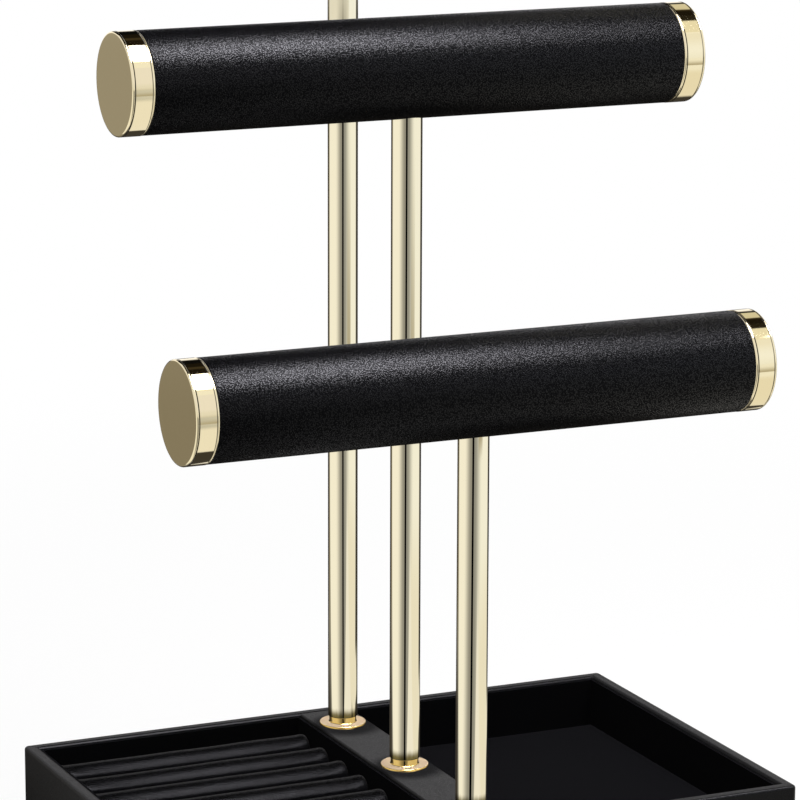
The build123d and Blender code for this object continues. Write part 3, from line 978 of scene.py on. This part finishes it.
# Velvet drinks the light: the trays look like deep black holes.
lining_velvet = fibres(
    "velvet_lining", "#030304", pile=0.4, relief=0.03, sheen=0.004, roughness=0.8, gloss=0.02
)
# Needle felt is a soft, coarse charcoal with no shine.
base_felt = fibres(
    "needle_felt", "#161617", pile=0.9, relief=0.2, sheen=0.1, roughness=0.95, gloss=0.1
)
# Paper over board is smooth and even, with a slight shine.
board_paper = fibres(
    "paper_covered_board", "#101011", pile=0.25, relief=0.01, sheen=0.0, roughness=0.6, gloss=0.25
)
print("finishes:", lining_velvet.name, base_felt.name, board_paper.name)

# %% [markdown]
# ## Turned wood
# The cores of the bars are pale wood, and only show where a cap is taken off. Their grain is
# noise drawn out along the bar, since wood is turned with its grain along the lathe.

# %% Wood
GRAIN_STRETCH = 0.06
GRAIN_WIDTH = 1.5


def turned_wood(name):
    """Pale turned wood, with its grain along the bar."""
    material, tree = new_material(name)
    place = add_node(tree, "ShaderNodeTexCoord").outputs["Object"]
    drawn = add_node(
        tree, "ShaderNodeVectorMath", {"operation": "MULTIPLY"},
        {0: place, 1: [GRAIN_STRETCH, 1.0, 1.0]},
    )
    grain = add_node(
        tree, "ShaderNodeTexNoise", None,
        {"Vector": drawn.outputs[0], "Scale": 1 / (GRAIN_WIDTH * MM), "Detail": 3.0, "Distortion": 0.6},
    )
    tone = add_node(tree, "ShaderNodeValToRGB", None, {"Fac": grain.outputs["Fac"]})
    tone.color_ramp.elements[0].color = linear("#B8945F")
    tone.color_ramp.elements[1].color = linear("#DCC197")
    finish = add_node(
        tree, "ShaderNodeBsdfPrincipled", None,
        {"Base Color": tone.outputs["Color"], "Roughness": 0.6},
    )
    add_node(tree, "ShaderNodeOutputMaterial", None, {"Surface": finish.outputs[0]})
    return material


# Close-grained wood, turned and sanded: pale straw streaks and no shine.
core_wood = turned_wood("turned_wood")
print("wood:", core_wood.name)

# %% [markdown]
# ## Pieces that keep their shape
# Flat and hidden pieces are right as they come from the model, so they only get their finish. The
# plain material that each came with is cleared first.

# %% Dress the ready-made pieces
TIERS = ("front", "middle", "rear")
FINISHES = {
    case_leather: ["post_rail", "drawer_front"],
    lining_velvet: ["ring_tray_liner", "open_tray_liner", "drawer_liner"],
    base_felt: ["bottom_felt"],
    board_paper: ["bottom_board", "tray_deck", "drawer_left_side", "drawer_right_side",
                  "drawer_back", "drawer_bottom"],
    core_wood: [f"bar_core_{tier}" for tier in TIERS],
    zinc: ["post_bolts", "knob_screw"],
}
for finish, names in FINISHES.items():
    for name in names:
        nodes[name].data.materials.clear()
        nodes[name].data.materials.append(finish)
print("dressed:", sum(len(names) for names in FINISHES.values()))

# %% [markdown]
# ## Closed shapes
# The pieces that are remade are closed shapes, built as rings of points with quads between them.
# The same steps come back for each: join the rings, turn the faces outward, and shade them smooth
# but for their edges. Round corners are drawn as arcs.

# %% Helpers for closed shapes
def skin_rings(shape, rings, closed=False):
    """Quads from each ring of points to the next, and from the last to the first if closed."""
    for low, high in zip(rings, rings[1:] + rings[:1] if closed else rings[1:]):
        for i in range(len(low)):
            j = (i + 1) % len(low)
            shape.faces.new((low[i], low[j], high[j], high[i]))


def finished_mesh(shape, name):
    """The mesh of a bmesh shape, with its faces turned outward."""
    bmesh.ops.recalc_face_normals(shape, faces=shape.faces)
    mesh = bpy.data.meshes.new(name)
    shape.to_mesh(mesh)
    shape.free()
    return mesh


def shade_smooth(mesh, sharp_angle):
    """Smooth shading, except across edges that turn by more than this many degrees."""
    mesh.polygons.foreach_set("use_smooth", [True] * len(mesh.polygons))
    mesh.set_sharp_from_angle(angle=math.radians(sharp_angle))


def arc(centre, radius, start, turn, steps):
    """Points along a part of a circle, from an angle and through a turn in degrees."""
    angles = [math.radians(start + turn * i / steps) for i in range(steps + 1)]
    return [(centre[0] + radius * math.cos(a), centre[1] + radius * math.sin(a)) for a in angles]


def axis_of(node):
    """The middle of a node's box, and half its size, in mm."""
    low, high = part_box(node)
    return (low + high) / 2 / MM, (high - low) / 2 / MM


print("front bar's middle in mm:", [round(v, 1) for v in axis_of("bar_wrap_front")[0]])

# %% [markdown]
# ## Turned pieces
# Tubes, caps, flanges and the knob all came off a lathe or a drawing bench, so each is one
# outline spun about an axis. The outline's corners are eased by a hair, because a real edge is
# never sharp and that hair is what catches the light.

# %% Spin an outline
ROUND_STEPS = 160
EASE_STEPS = 4
EASE_LIMIT = 0.4
ON_AXIS = 1e-6  # a radius below this is a point on the axis


def eased(outline, radius):
    """The outline with each inner corner replaced by a small round of about this radius."""
    points = [Vector(outline[0])]
    for before, corner, after in zip(outline, outline[1:], outline[2:]):
        before, corner, after = Vector(before), Vector(corner), Vector(after)
        reach = min(radius, EASE_LIMIT * (before - corner).length, EASE_LIMIT * (after - corner).length)
        start = corner + (before - corner).normalized() * reach
        end = corner + (after - corner).normalized() * reach
        for step in range(EASE_STEPS + 1):
            t = step / EASE_STEPS
            points.append(start * (1 - t) ** 2 + corner * 2 * t * (1 - t) + end * t**2)
    points.append(Vector(outline[-1]))
    return points


def spun(name, outline, material, place):
    """A turned piece from (radius, along) points in mm. place puts its axis, Z, in the scene."""
    shape = bmesh.new()
    rings = []
    for radius, along in outline:
        if radius < ON_AXIS:
            rings.append([shape.verts.new((0, 0, along * MM))])
            continue
        ring = []
        for i in range(ROUND_STEPS):
            turn = math.tau * i / ROUND_STEPS
            across, up = radius * MM * math.cos(turn), radius * MM * math.sin(turn)
            ring.append(shape.verts.new((across, up, along * MM)))
        rings.append(ring)
    for low, high in zip(rings, rings[1:]):
        for i in range(ROUND_STEPS):
            a, b = low[i % len(low)], low[(i + 1) % len(low)]
            c, d = high[(i + 1) % len(high)], high[i % len(high)]
            corners = [v for k, v in enumerate((a, b, c, d)) if v not in (a, b, c, d)[:k]]
            if len(corners) > 2:
                shape.faces.new(corners)
    mesh = finished_mesh(shape, name)
    mesh.transform(place)
    shade_smooth(mesh, sharp_angle=50)
    piece = link(name, mesh, material)
    piece.modifiers.new("even_shading", "WEIGHTED_NORMAL").keep_sharp = True
    return piece


print("steps round a turned piece:", ROUND_STEPS)

# %% [markdown]
# A post is a tube with a stud at its top, which screws into its bar. Its foot slips over the
# spigot of a flange: a thin disc with a low collar, clamped to the strip from below.

# %% Posts and their flanges
TUBE_WALL = 1.0
STUD_RADIUS = 2.95
STUD_LENGTH = 16.0
FLANGE_RADIUS = 9.5
FLANGE_BORE = 3.0
SPIGOT_RADIUS = 4.95
SPIGOT_LENGTH = 14.0
DISC = 1.0
BOSS_RADIUS = 5.5
BOSS_FOOT = 0.3
EDGE_EASE, FLANGE_EASE = 0.25, 0.35
TUBE_PLUG = 12.0

for tier in TIERS:
    middle, half = axis_of(f"post_{tier}")
    foot = middle.z - half.z
    top = middle.z + half.z - STUD_LENGTH
    outer = half.x
    tube = [
        (outer - TUBE_WALL, top - TUBE_PLUG), (outer - TUBE_WALL, foot), (outer, foot), (outer, top),
        (STUD_RADIUS, top), (STUD_RADIUS, top + STUD_LENGTH), (0, top + STUD_LENGTH),
    ]
    tube = [Vector((0, top - TUBE_PLUG))] + eased(tube, EDGE_EASE)
    axis = Matrix.Translation(Vector((0, middle.y, 0)) * MM)
    post = spun(f"post_tube_{tier}", tube, post_metal, axis)
    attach(post, "case")
    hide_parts(f"post_{tier}")
    turned_foot = [
        (FLANGE_BORE, 0), (FLANGE_RADIUS, 0), (FLANGE_RADIUS, DISC), (BOSS_RADIUS + BOSS_FOOT, DISC),
        (BOSS_RADIUS, DISC + BOSS_FOOT), (BOSS_RADIUS, BOSS_TOP), (SPIGOT_RADIUS, BOSS_TOP),
        (SPIGOT_RADIUS, BOSS_TOP + SPIGOT_LENGTH), (FLANGE_BORE, BOSS_TOP + SPIGOT_LENGTH),
        (FLANGE_BORE, 0),
    ]
    axis = Matrix.Translation(Vector((0, middle.y, rail_top)) * MM)
    flange = spun(f"flange_{tier}", eased(turned_foot, FLANGE_EASE), flange_metal, axis)
    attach(flange, "case")
    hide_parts("post_flanges")
    print(tier, "post from", round(foot, 1), "to", round(top, 1), "mm")

# %% [markdown]
# ## End caps
# A cap is a turned cup over the end of its bar. Its rim is rounded at the face and at the lip, and a
# fine groove runs beside each round, along which the plating is coloured dark. Both caps of a bar are
# the same cup, turned to face left or right.

# %% End caps
CAP_LENGTH = 9.0
CAP_ROUND = 0.75
LIP_ROUND = 0.6
ROUND_CORNER_STEPS = 12
GROOVE_WIDTH = 0.5
GROOVE_DEPTH = 0.22
GROOVE_STEPS = 8
GROOVE_APART = 0.05
CAP_FACE = 1.2
CAP_INNER = 18.65


def groove(radius, start):
    """A turned groove with a smooth bottom, running on from start."""
    steps = [i / GROOVE_STEPS for i in range(GROOVE_STEPS + 1)]
    depth = [GROOVE_DEPTH * math.sin(math.pi * t) ** 2 for t in steps]
    return [(radius - d, start - GROOVE_WIDTH * t) for t, d in zip(steps, depth)]


for tier in TIERS:
    middle, half = axis_of(f"bar_caps_{tier}")
    outer = half.z
    rim_arc = arc((outer - CAP_ROUND, -CAP_ROUND), CAP_ROUND, 90, -90, ROUND_CORNER_STEPS)
    lip_arc = arc((outer - LIP_ROUND, LIP_ROUND - CAP_LENGTH), LIP_ROUND, 0, -90, ROUND_CORNER_STEPS)
    lip_groove = LIP_ROUND - CAP_LENGTH + GROOVE_APART + GROOVE_WIDTH
    band = groove(outer, -CAP_ROUND - GROOVE_APART) + groove(outer, lip_groove)
    inside = [(CAP_INNER, -CAP_LENGTH), (CAP_INNER, -CAP_FACE), (0, -CAP_FACE)]
    cup = [(0, 0), *rim_arc, *band, *lip_arc, *inside]
    for side, turn in (("left", -1), ("right", 1)):
        face = Vector((turn * half.x, middle.y, middle.z)) * MM
        place = Matrix.Translation(face) @ Matrix.Rotation(turn * math.pi / 2, 4, "Y")
        cap = spun(f"bar_cap_{tier}_{side}", cup, cap_metal, place)
        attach(cap, "case")
        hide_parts(f"bar_caps_{tier}")
    print(tier, "cap diameter", round(2 * outer, 1), "mm")

# %% [markdown]
# ## Drawer knob
# The knob is a neck and a wider head with a small bevel round its face, in the caps' plating. Its
# axis points out of the drawer front, so the outline is spun about Z and then laid down.

# %% Drawer knob
NECK_RADIUS = 4.0
HEAD_RADIUS = 8.0
HEAD_LENGTH = 10.0
KNOB_BEVEL = 0.7
KNOB_EASE = 0.3

low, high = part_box("drawer_knob")
reach = (high.y - low.y) / MM
head_back = reach - HEAD_LENGTH
knob_outline = [
    (0, 0), (NECK_RADIUS, 0), (NECK_RADIUS, head_back), (HEAD_RADIUS, head_back),
    (HEAD_RADIUS, reach - KNOB_BEVEL), (HEAD_RADIUS - KNOB_BEVEL, reach), (0, reach),
]
place = Matrix.Translation((0, high.y, (low.z + high.z) / 2)) @ Matrix.Rotation(math.pi / 2, 4, "X")
knob = spun("knob", eased(knob_outline, KNOB_EASE), cap_metal, place)
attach(knob, "drawer")
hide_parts("drawer_knob")
print("knob reach in mm:", round(reach, 1))

# %% [markdown]
# ## Leather sleeves
# Each bar is wrapped in one sheet of leather that meets itself in a butt seam low on the back,
# out of sight. Rings of points round the bar make the sleeve, with closer points near the seam,
# where they dip into a shallow groove, and with ends that turn in a little.

# %% Sleeve mesh
BAR_RADIUS = 19.5
SEAM_ANGLE = math.radians(-62)
SEAM_WIDTH = 0.5
SEAM_REACH = 4
SEAM_DEPTH = 0.28
SEAM_STEPS = 10
SLEEVE_STEPS = 150
SLEEVE = 0.9
EDGE_TURN = 0.35
EDGE_MID_IN, EDGE_MID_ALONG = 0.1, 0.12


def sleeve_angles():
    """Angles round the bar, from one side of the seam to the other, denser at the seam."""
    near = SEAM_REACH * SEAM_WIDTH / BAR_RADIUS
    fine = [SEAM_ANGLE - near + 2 * near * i / SEAM_STEPS for i in range(SEAM_STEPS)]
    coarse = [
        SEAM_ANGLE + near + (math.tau - 2 * near) * i / SLEEVE_STEPS for i in range(SLEEVE_STEPS)
    ]
    return fine + coarse


def sleeve_mesh(name, middle, half):
    """A tube along X with turned-in ends, and a groove along its seam."""
    outer, inner = half.z, half.z - SLEEVE
    end = [
        (inner, half.x), (outer - EDGE_TURN, half.x), (outer - EDGE_MID_IN, half.x - EDGE_MID_ALONG),
        (outer, half.x - EDGE_TURN),
    ]
    stations = [(radius, -along) for radius, along in end] + end[::-1]
    shape = bmesh.new()
    rings = []
    for radius, along in stations:
        ring = []
        for angle in sleeve_angles():
            gap = abs(math.remainder(angle - SEAM_ANGLE, math.tau)) * outer
            dip = SEAM_DEPTH * math.exp(-((gap / SEAM_WIDTH) ** 2)) if radius > inner else 0
            y = middle.y + (radius - dip) * math.cos(angle)
            z = middle.z + (radius - dip) * math.sin(angle)
            ring.append(shape.verts.new(Vector((along, y, z)) * MM))
        rings.append(ring)
    skin_rings(shape, rings, closed=True)
    return finished_mesh(shape, name)


print("points round a sleeve:", len(sleeve_angles()))

# %% [markdown]
# A Boolean cuts one shape with another, here the hole for the post out of the sleeve. Its result
# is made part of the mesh at once, and the cutting shape is thrown away.

# %% Sleeves
POST_HOLE = 6.1
DRILL_SPARE = 5


def baked(piece):
    """The piece with its modifiers made part of its mesh."""
    depsgraph = bpy.context.evaluated_depsgraph_get()
    mesh = bpy.data.meshes.new_from_object(piece.evaluated_get(depsgraph))
    piece.modifiers.clear()
    piece.data = mesh
    return piece


def cut_with(piece, tool, operation):
    """Cuts the piece with another object, which is then removed."""
    cut = piece.modifiers.new("cut", "BOOLEAN")
    cut.operation = operation
    cut.solver = "EXACT"
    cut.object = tool
    baked(piece)
    bpy.data.objects.remove(tool)


for tier in TIERS:
    middle, half = axis_of(f"bar_wrap_{tier}")
    sleeve = link(f"sleeve_{tier}", sleeve_mesh(f"sleeve_{tier}", middle, half), bar_leather)
    below = -half.z - DRILL_SPARE
    drill_outline = [(0, below), (POST_HOLE, below), (POST_HOLE, 0), (0, 0)]
    drill = spun("drill", drill_outline, bar_leather, Matrix.Translation(middle * MM))
    cut_with(sleeve, drill, "DIFFERENCE")
    shade_smooth(sleeve.data, sharp_angle=40)
    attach(sleeve, "case")
    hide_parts(f"bar_wrap_{tier}")
    print(tier, "sleeve faces:", len(sleeve.data.polygons))

# %% [markdown]
# ## The walls of the case
# Each wall is a board wrapped in leather, with a softly rounded top, and the walls meet in
# mitres at the corners. One outline, swept round the case and then cut apart with Booleans,
# gives all four the same edge, and a gap of a tenth of a millimetre draws the mitres.

# %% The case's outline
WALL = 5.4
CORNER = 2.0
CORNER_STEPS = 10
LEAST_CORNER = 0.04

wall_low, wall_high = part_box("back_wall")
HALF_X, HALF_Y = -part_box("left_wall")[0].x / MM, wall_high.y / MM
FOOT, RIM = wall_low.z / MM, wall_high.z / MM


def plan_line(inward):
    """The case's outline seen from above, moved inwards, with its corners rounded."""
    radius = max(CORNER - inward, LEAST_CORNER)
    points = []
    for corner, (sign_x, sign_y) in enumerate(((1, 1), (-1, 1), (-1, -1), (1, -1))):
        centre_x = sign_x * (HALF_X - inward - radius)
        centre_y = sign_y * (HALF_Y - inward - radius)
        for step in range(CORNER_STEPS + 1):
            angle = math.radians(90 * corner + 90 * step / CORNER_STEPS)
            points.append((centre_x + radius * math.cos(angle), centre_y + radius * math.sin(angle)))
    return points


def ring_mesh(profile):
    """Sweeps (inward, level) points in mm round the case."""
    shape = bmesh.new()
    loops = [
        [shape.verts.new(Vector((x, y, level)) * MM) for x, y in plan_line(inward)]
        for inward, level in profile
    ]
    skin_rings(shape, loops, closed=True)
    return finished_mesh(shape, "wall_ring")


print("case in mm:", round(2 * HALF_X, 1), "x", round(2 * HALF_Y, 1), "x", round(RIM, 1))

# %% [markdown]
# The swept ring is cut into walls by upright blocks. The side walls take the mitres above the
# tray deck, and run on to the front beside the drawer below it, where there is no front rail, so
# each of them is the sum of two blocks.

# %% Cut one wall out of the ring
def prism_mesh(plan, low, high):
    """A closed upright block on a plan of four corners."""
    shape = bmesh.new()
    levels = [[shape.verts.new(Vector((x, y, z)) * MM) for x, y in plan] for z in (low, high)]
    shape.faces.new(levels[0])
    shape.faces.new(levels[1])
    skin_rings(shape, levels)
    return finished_mesh(shape, "cutter")


def wall_piece(name, ring, blocks):
    """The part of the ring inside one or more blocks of (plan, low, high)."""
    whole = bmesh.new()
    for plan, low, high in blocks:
        part = link("part", ring.data.copy(), case_leather)
        cut_with(part, link("cutter", prism_mesh(plan, low, high), case_leather), "INTERSECT")
        whole.from_mesh(part.data)
        bpy.data.objects.remove(part)
    mesh = bpy.data.meshes.new(name)
    whole.to_mesh(mesh)
    whole.free()
    shade_smooth(mesh, sharp_angle=38)
    piece = link(name, mesh, case_leather)
    piece.modifiers.new("even_shading", "WEIGHTED_NORMAL").keep_sharp = True
    return piece


print("blocks are cut from a ring", WALL, "mm thick")

# %% [markdown]
# A wall's top is rounder inside than outside, as wrapped board is, and a hair lower at its
# edges. The plans below are for the right and the back. The left and the front are their mirror
# images.

# %% Walls
OUTER_ROUND, OUTER_DROP, OUTER_STEPS = 1.3, 0.08, 8
INNER_ROUND, INNER_DROP, INNER_STEPS = 1.7, 0.05, 10
MITRE_GAP = 0.14
DECK_UNDER = 49.0
OUT_SPARE, IN_SPARE, END_SPARE = 3.0, 0.5, 1

outer_centre = (OUTER_ROUND, RIM - OUTER_ROUND - OUTER_DROP)
inner_centre = (WALL - INNER_ROUND, RIM - INNER_ROUND - INNER_DROP)
wall_profile = [
    (0, FOOT), (0, RIM / 2), *arc(outer_centre, OUTER_ROUND, 180, -90, OUTER_STEPS),
    (WALL / 2, RIM), *arc(inner_centre, INNER_ROUND, 90, -90, INNER_STEPS),
    (WALL, RIM / 2), (WALL, FOOT),
]
ring = link("wall_ring", ring_mesh(wall_profile), case_leather)
out_x, out_y = HALF_X + OUT_SPARE, HALF_Y + OUT_SPARE
in_x, in_y = HALF_X - WALL - IN_SPARE, HALF_Y - WALL - IN_SPARE
above, below = RIM + END_SPARE, FOOT - END_SPARE
gap = MITRE_GAP / math.sqrt(2)
side_mitred = [(out_x, -out_y + gap), (out_x, out_y - gap), (in_x, in_y - gap), (in_x, -in_y + gap)]
side_square = [(out_x, -out_y), (out_x, out_y - gap), (in_x, in_y - gap), (in_x, -out_y)]
end_mitred = [(-out_x + gap, out_y), (out_x - gap, out_y), (in_x - gap, in_y), (-in_x + gap, in_y)]
left_mitred = [(-x, y) for x, y in side_mitred]
left_square = [(-x, y) for x, y in side_square]
front_mitred = [(x, -y) for x, y in end_mitred]
WALLS = {
    "left_wall": [(left_mitred, DECK_UNDER, above), (left_square, below, DECK_UNDER)],
    "right_wall": [(side_mitred, DECK_UNDER, above), (side_square, below, DECK_UNDER)],
    "back_wall": [(end_mitred, below, above)],
    "front_rail": [(front_mitred, DECK_UNDER, above)],
}
for node, blocks in WALLS.items():
    wall = wall_piece(f"wrapped_{node}", ring, blocks)
    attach(wall, "case")
    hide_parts(node)
    print(node, "faces:", len(wall.data.polygons))
bpy.data.objects.remove(ring)

# %% [markdown]
# ## Ring rolls
# The ring tray is filled with eight padded rolls, foam in soft leather. They lie close side by
# side, to grip what is pushed down between two of them. A roll is a strip of foam pressed into
# its cover, so its top is round, its foot is flat, and its ends pull in. It starts as a slightly
# small closed form: one section, drawn along the roll and made smaller at both ends.

# %% The form of a roll
CREST_RADIUS = 5.9
CREST_POINTS, FLANK_STEPS, FOOT_STEPS = 19, 6, 9
END_SIZES = (0.2, 0.45, 0.7, 0.88)
SHOULDER, SHOULDER_SIZE = 0.5, 0.97
STRAIGHT_FROM, STRAIGHT_STEPS = 2, 48
CENTRE_LEVEL = 0.45


def roll_section(width, height):
    """A round crest over straight sloping flanks, as (across, up) points round the roll."""
    half, centre = width / 2, height - CREST_RADIUS
    slope = math.acos(CREST_RADIUS / math.hypot(half, centre)) - math.atan2(centre, half)
    points = []
    for i in range(CREST_POINTS):
        angle = slope + (math.pi - 2 * slope) * i / (CREST_POINTS - 1)
        points.append((CREST_RADIUS * math.cos(angle), centre + CREST_RADIUS * math.sin(angle)))
    side, shoulder = points[-1]
    down = [i / FLANK_STEPS for i in range(1, FLANK_STEPS + 1)]
    points += [(side + (-half - side) * t, shoulder * (1 - t)) for t in down]
    points += [(-half + width * i / FOOT_STEPS, 0) for i in range(1, FOOT_STEPS)]
    points += [(half + (-side - half) * t, shoulder * t) for t in [0, *down[:-1]]]
    return points


def roll_mesh(name, length, width, height):
    """A closed roll about the origin, along X, its foot at 0. Its ends are rings that shrink."""
    section = roll_section(width, height)
    centre = height * CENTRE_LEVEL
    straight = length - 2 * STRAIGHT_FROM
    stations = [(-length / 2, s) for s in END_SIZES] + [(-length / 2 + SHOULDER, SHOULDER_SIZE)]
    steps = range(STRAIGHT_STEPS + 1)
    stations += [(-length / 2 + STRAIGHT_FROM + straight * i / STRAIGHT_STEPS, 1.0) for i in steps]
    stations += [(length / 2 - SHOULDER, SHOULDER_SIZE)] + [(length / 2, s) for s in END_SIZES[::-1]]
    shape = bmesh.new()
    rings = []
    for along, size in stations:
        rings.append([
            shape.verts.new(Vector((along, across * size, centre + (up - centre) * size)) * MM)
            for across, up in section
        ])
    skin_rings(shape, rings)
    for ring, along in ((rings[0], -length / 2), (rings[-1], length / 2)):
        hub = shape.verts.new(Vector((along, 0, centre)) * MM)
        for i in range(len(ring)):
            shape.faces.new((ring[i], ring[(i + 1) % len(ring)], hub))
    return finished_mesh(shape, name)


print("radius of a roll's crest in mm:", CREST_RADIUS)

# %% [markdown]
# The form is then blown up a little as cloth, which rounds its ends the way a stuffed cover
# does. Cloth behaves best at the size of a cushion, so the roll is enlarged for it. Its foot is
# held, and no point may move further than the cover would.

# %% Blow up a roll
ROLL_SCALE = 20.0
ROLL_SWELL = 0.7
HELD_BELOW = 0.3
SIM_FRAMES = 20
CLOTH = {
    "vertex_group_mass": "foot", "use_pressure": True, "uniform_pressure_force": 4.0, "quality": 6,
    "tension_stiffness": 12.0, "compression_stiffness": 12.0, "bending_stiffness": 2.0,
}


def blow_up(piece):
    """Swells the piece as pressed cloth with its foot held."""
    start = [v.co.copy() for v in piece.data.vertices]
    for vertex in piece.data.vertices:
        vertex.co *= ROLL_SCALE
    held = piece.vertex_groups.new(name="foot")
    held.add([i for i, co in enumerate(start) if co.z < HELD_BELOW * MM], 1.0, "REPLACE")
    cloth = piece.modifiers.new("cloth", "CLOTH")
    cloth.settings.effector_weights.gravity = 0.0
    for name, value in CLOTH.items():
        setattr(cloth.settings, name, value)
    for number in range(1, SIM_FRAMES + 1):
        bpy.context.scene.frame_set(number)
    baked(piece)
    bpy.context.scene.frame_set(1)
    piece.vertex_groups.clear()
    most = ROLL_SWELL * MM
    for vertex, origin in zip(piece.data.vertices, start):
        move = vertex.co / ROLL_SCALE - origin
        vertex.co = origin + (move.normalized() * most if move.length > most else move)


print("cloth frames:", SIM_FRAMES)

# %% [markdown]
# One roll is simulated, and the eight are copies of it, each fitted to its own place. Noise along
# each one, read at another place for every roll, gives it slight waves of its own.

# %% Ring rolls
ROLL_COUNT = 8
ROLL_SMALLER = 0.5
WAVE_HEIGHT = 0.14
WAVE_LENGTH = 22.0
WAVE_APART = 7.3

for index in range(ROLL_COUNT):
    node = f"ring_roll_{index + 1}"
    low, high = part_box(node)
    size = (high - low) / MM
    if index == 0:
        smaller = (size.x - 2 * ROLL_SMALLER, size.y - 2 * ROLL_SMALLER, size.z - ROLL_SMALLER)
        pattern = link("roll_pattern", roll_mesh("roll", *smaller), roll_leather)
        blow_up(pattern)
        swelled = [v.co.copy() for v in pattern.data.vertices]
        reach = [max(abs(co[i]) for co in swelled) for i in (0, 1, 2)]
        print("roll after swelling, mm:", [round(r / MM, 2) for r in reach])
    mesh = pattern.data.copy()
    fit = Vector((size.x * MM / 2 / reach[0], size.y * MM / 2 / reach[1], size.z * MM / reach[2]))
    foot = Vector(((low.x + high.x) / 2, (low.y + high.y) / 2, low.z))
    for vertex in mesh.vertices:
        point = Vector(a * b for a, b in zip(vertex.co, fit))
        along, up = point.x / (WAVE_LENGTH * MM), point.z / (WAVE_LENGTH * MM)
        wave = noise.noise(Vector((along, up, index * WAVE_APART)))
        inward = 1 - max(0.0, WAVE_HEIGHT * (0.5 + wave)) * MM / (size.y * MM / 2)
        vertex.co = foot + Vector((point.x, point.y * inward, point.z * inward))
    mesh.polygons.foreach_set("use_smooth", [True] * len(mesh.polygons))
    roll = link(f"padded_roll_{index + 1}", mesh, roll_leather)
    softer = roll.modifiers.new("finer", "SUBSURF")
    softer.levels = softer.render_levels = 1
    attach(roll, "case")
    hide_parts(node)
bpy.data.objects.remove(pattern)
print("rolls:", ROLL_COUNT)

# %% [markdown]
# ## What the polished posts don't show
# In the photograph the posts are clean down to a few millimetres over the strip: they mirror the white
# table round the stand, and neither the bars nor the dark trays beside them. So the pieces are left out
# of mirror reflections. The dark band painted at the foot of each post is painted shade: it gives back
# the soft darkening just over the flange, where the post would mirror the dark strip and flange.

# %% Leave the rest out of mirror reflections
left_out = 0
for piece in bpy.context.scene.objects:
    if piece.type == "MESH" and piece not in stage_pieces:
        piece.visible_glossy = False
        left_out += 1
print("left out of reflections:", left_out)

# %% [markdown]
# ## View, size and end
# The Standard view shows each colour as it was written. The last line prints the size of the dressed
# stand.

# %% View settings, size and end
bpy.context.scene.view_settings.view_transform = "Standard"
low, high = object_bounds()
print("size in mm:", [round(v / MM, 1) for v in high - low])
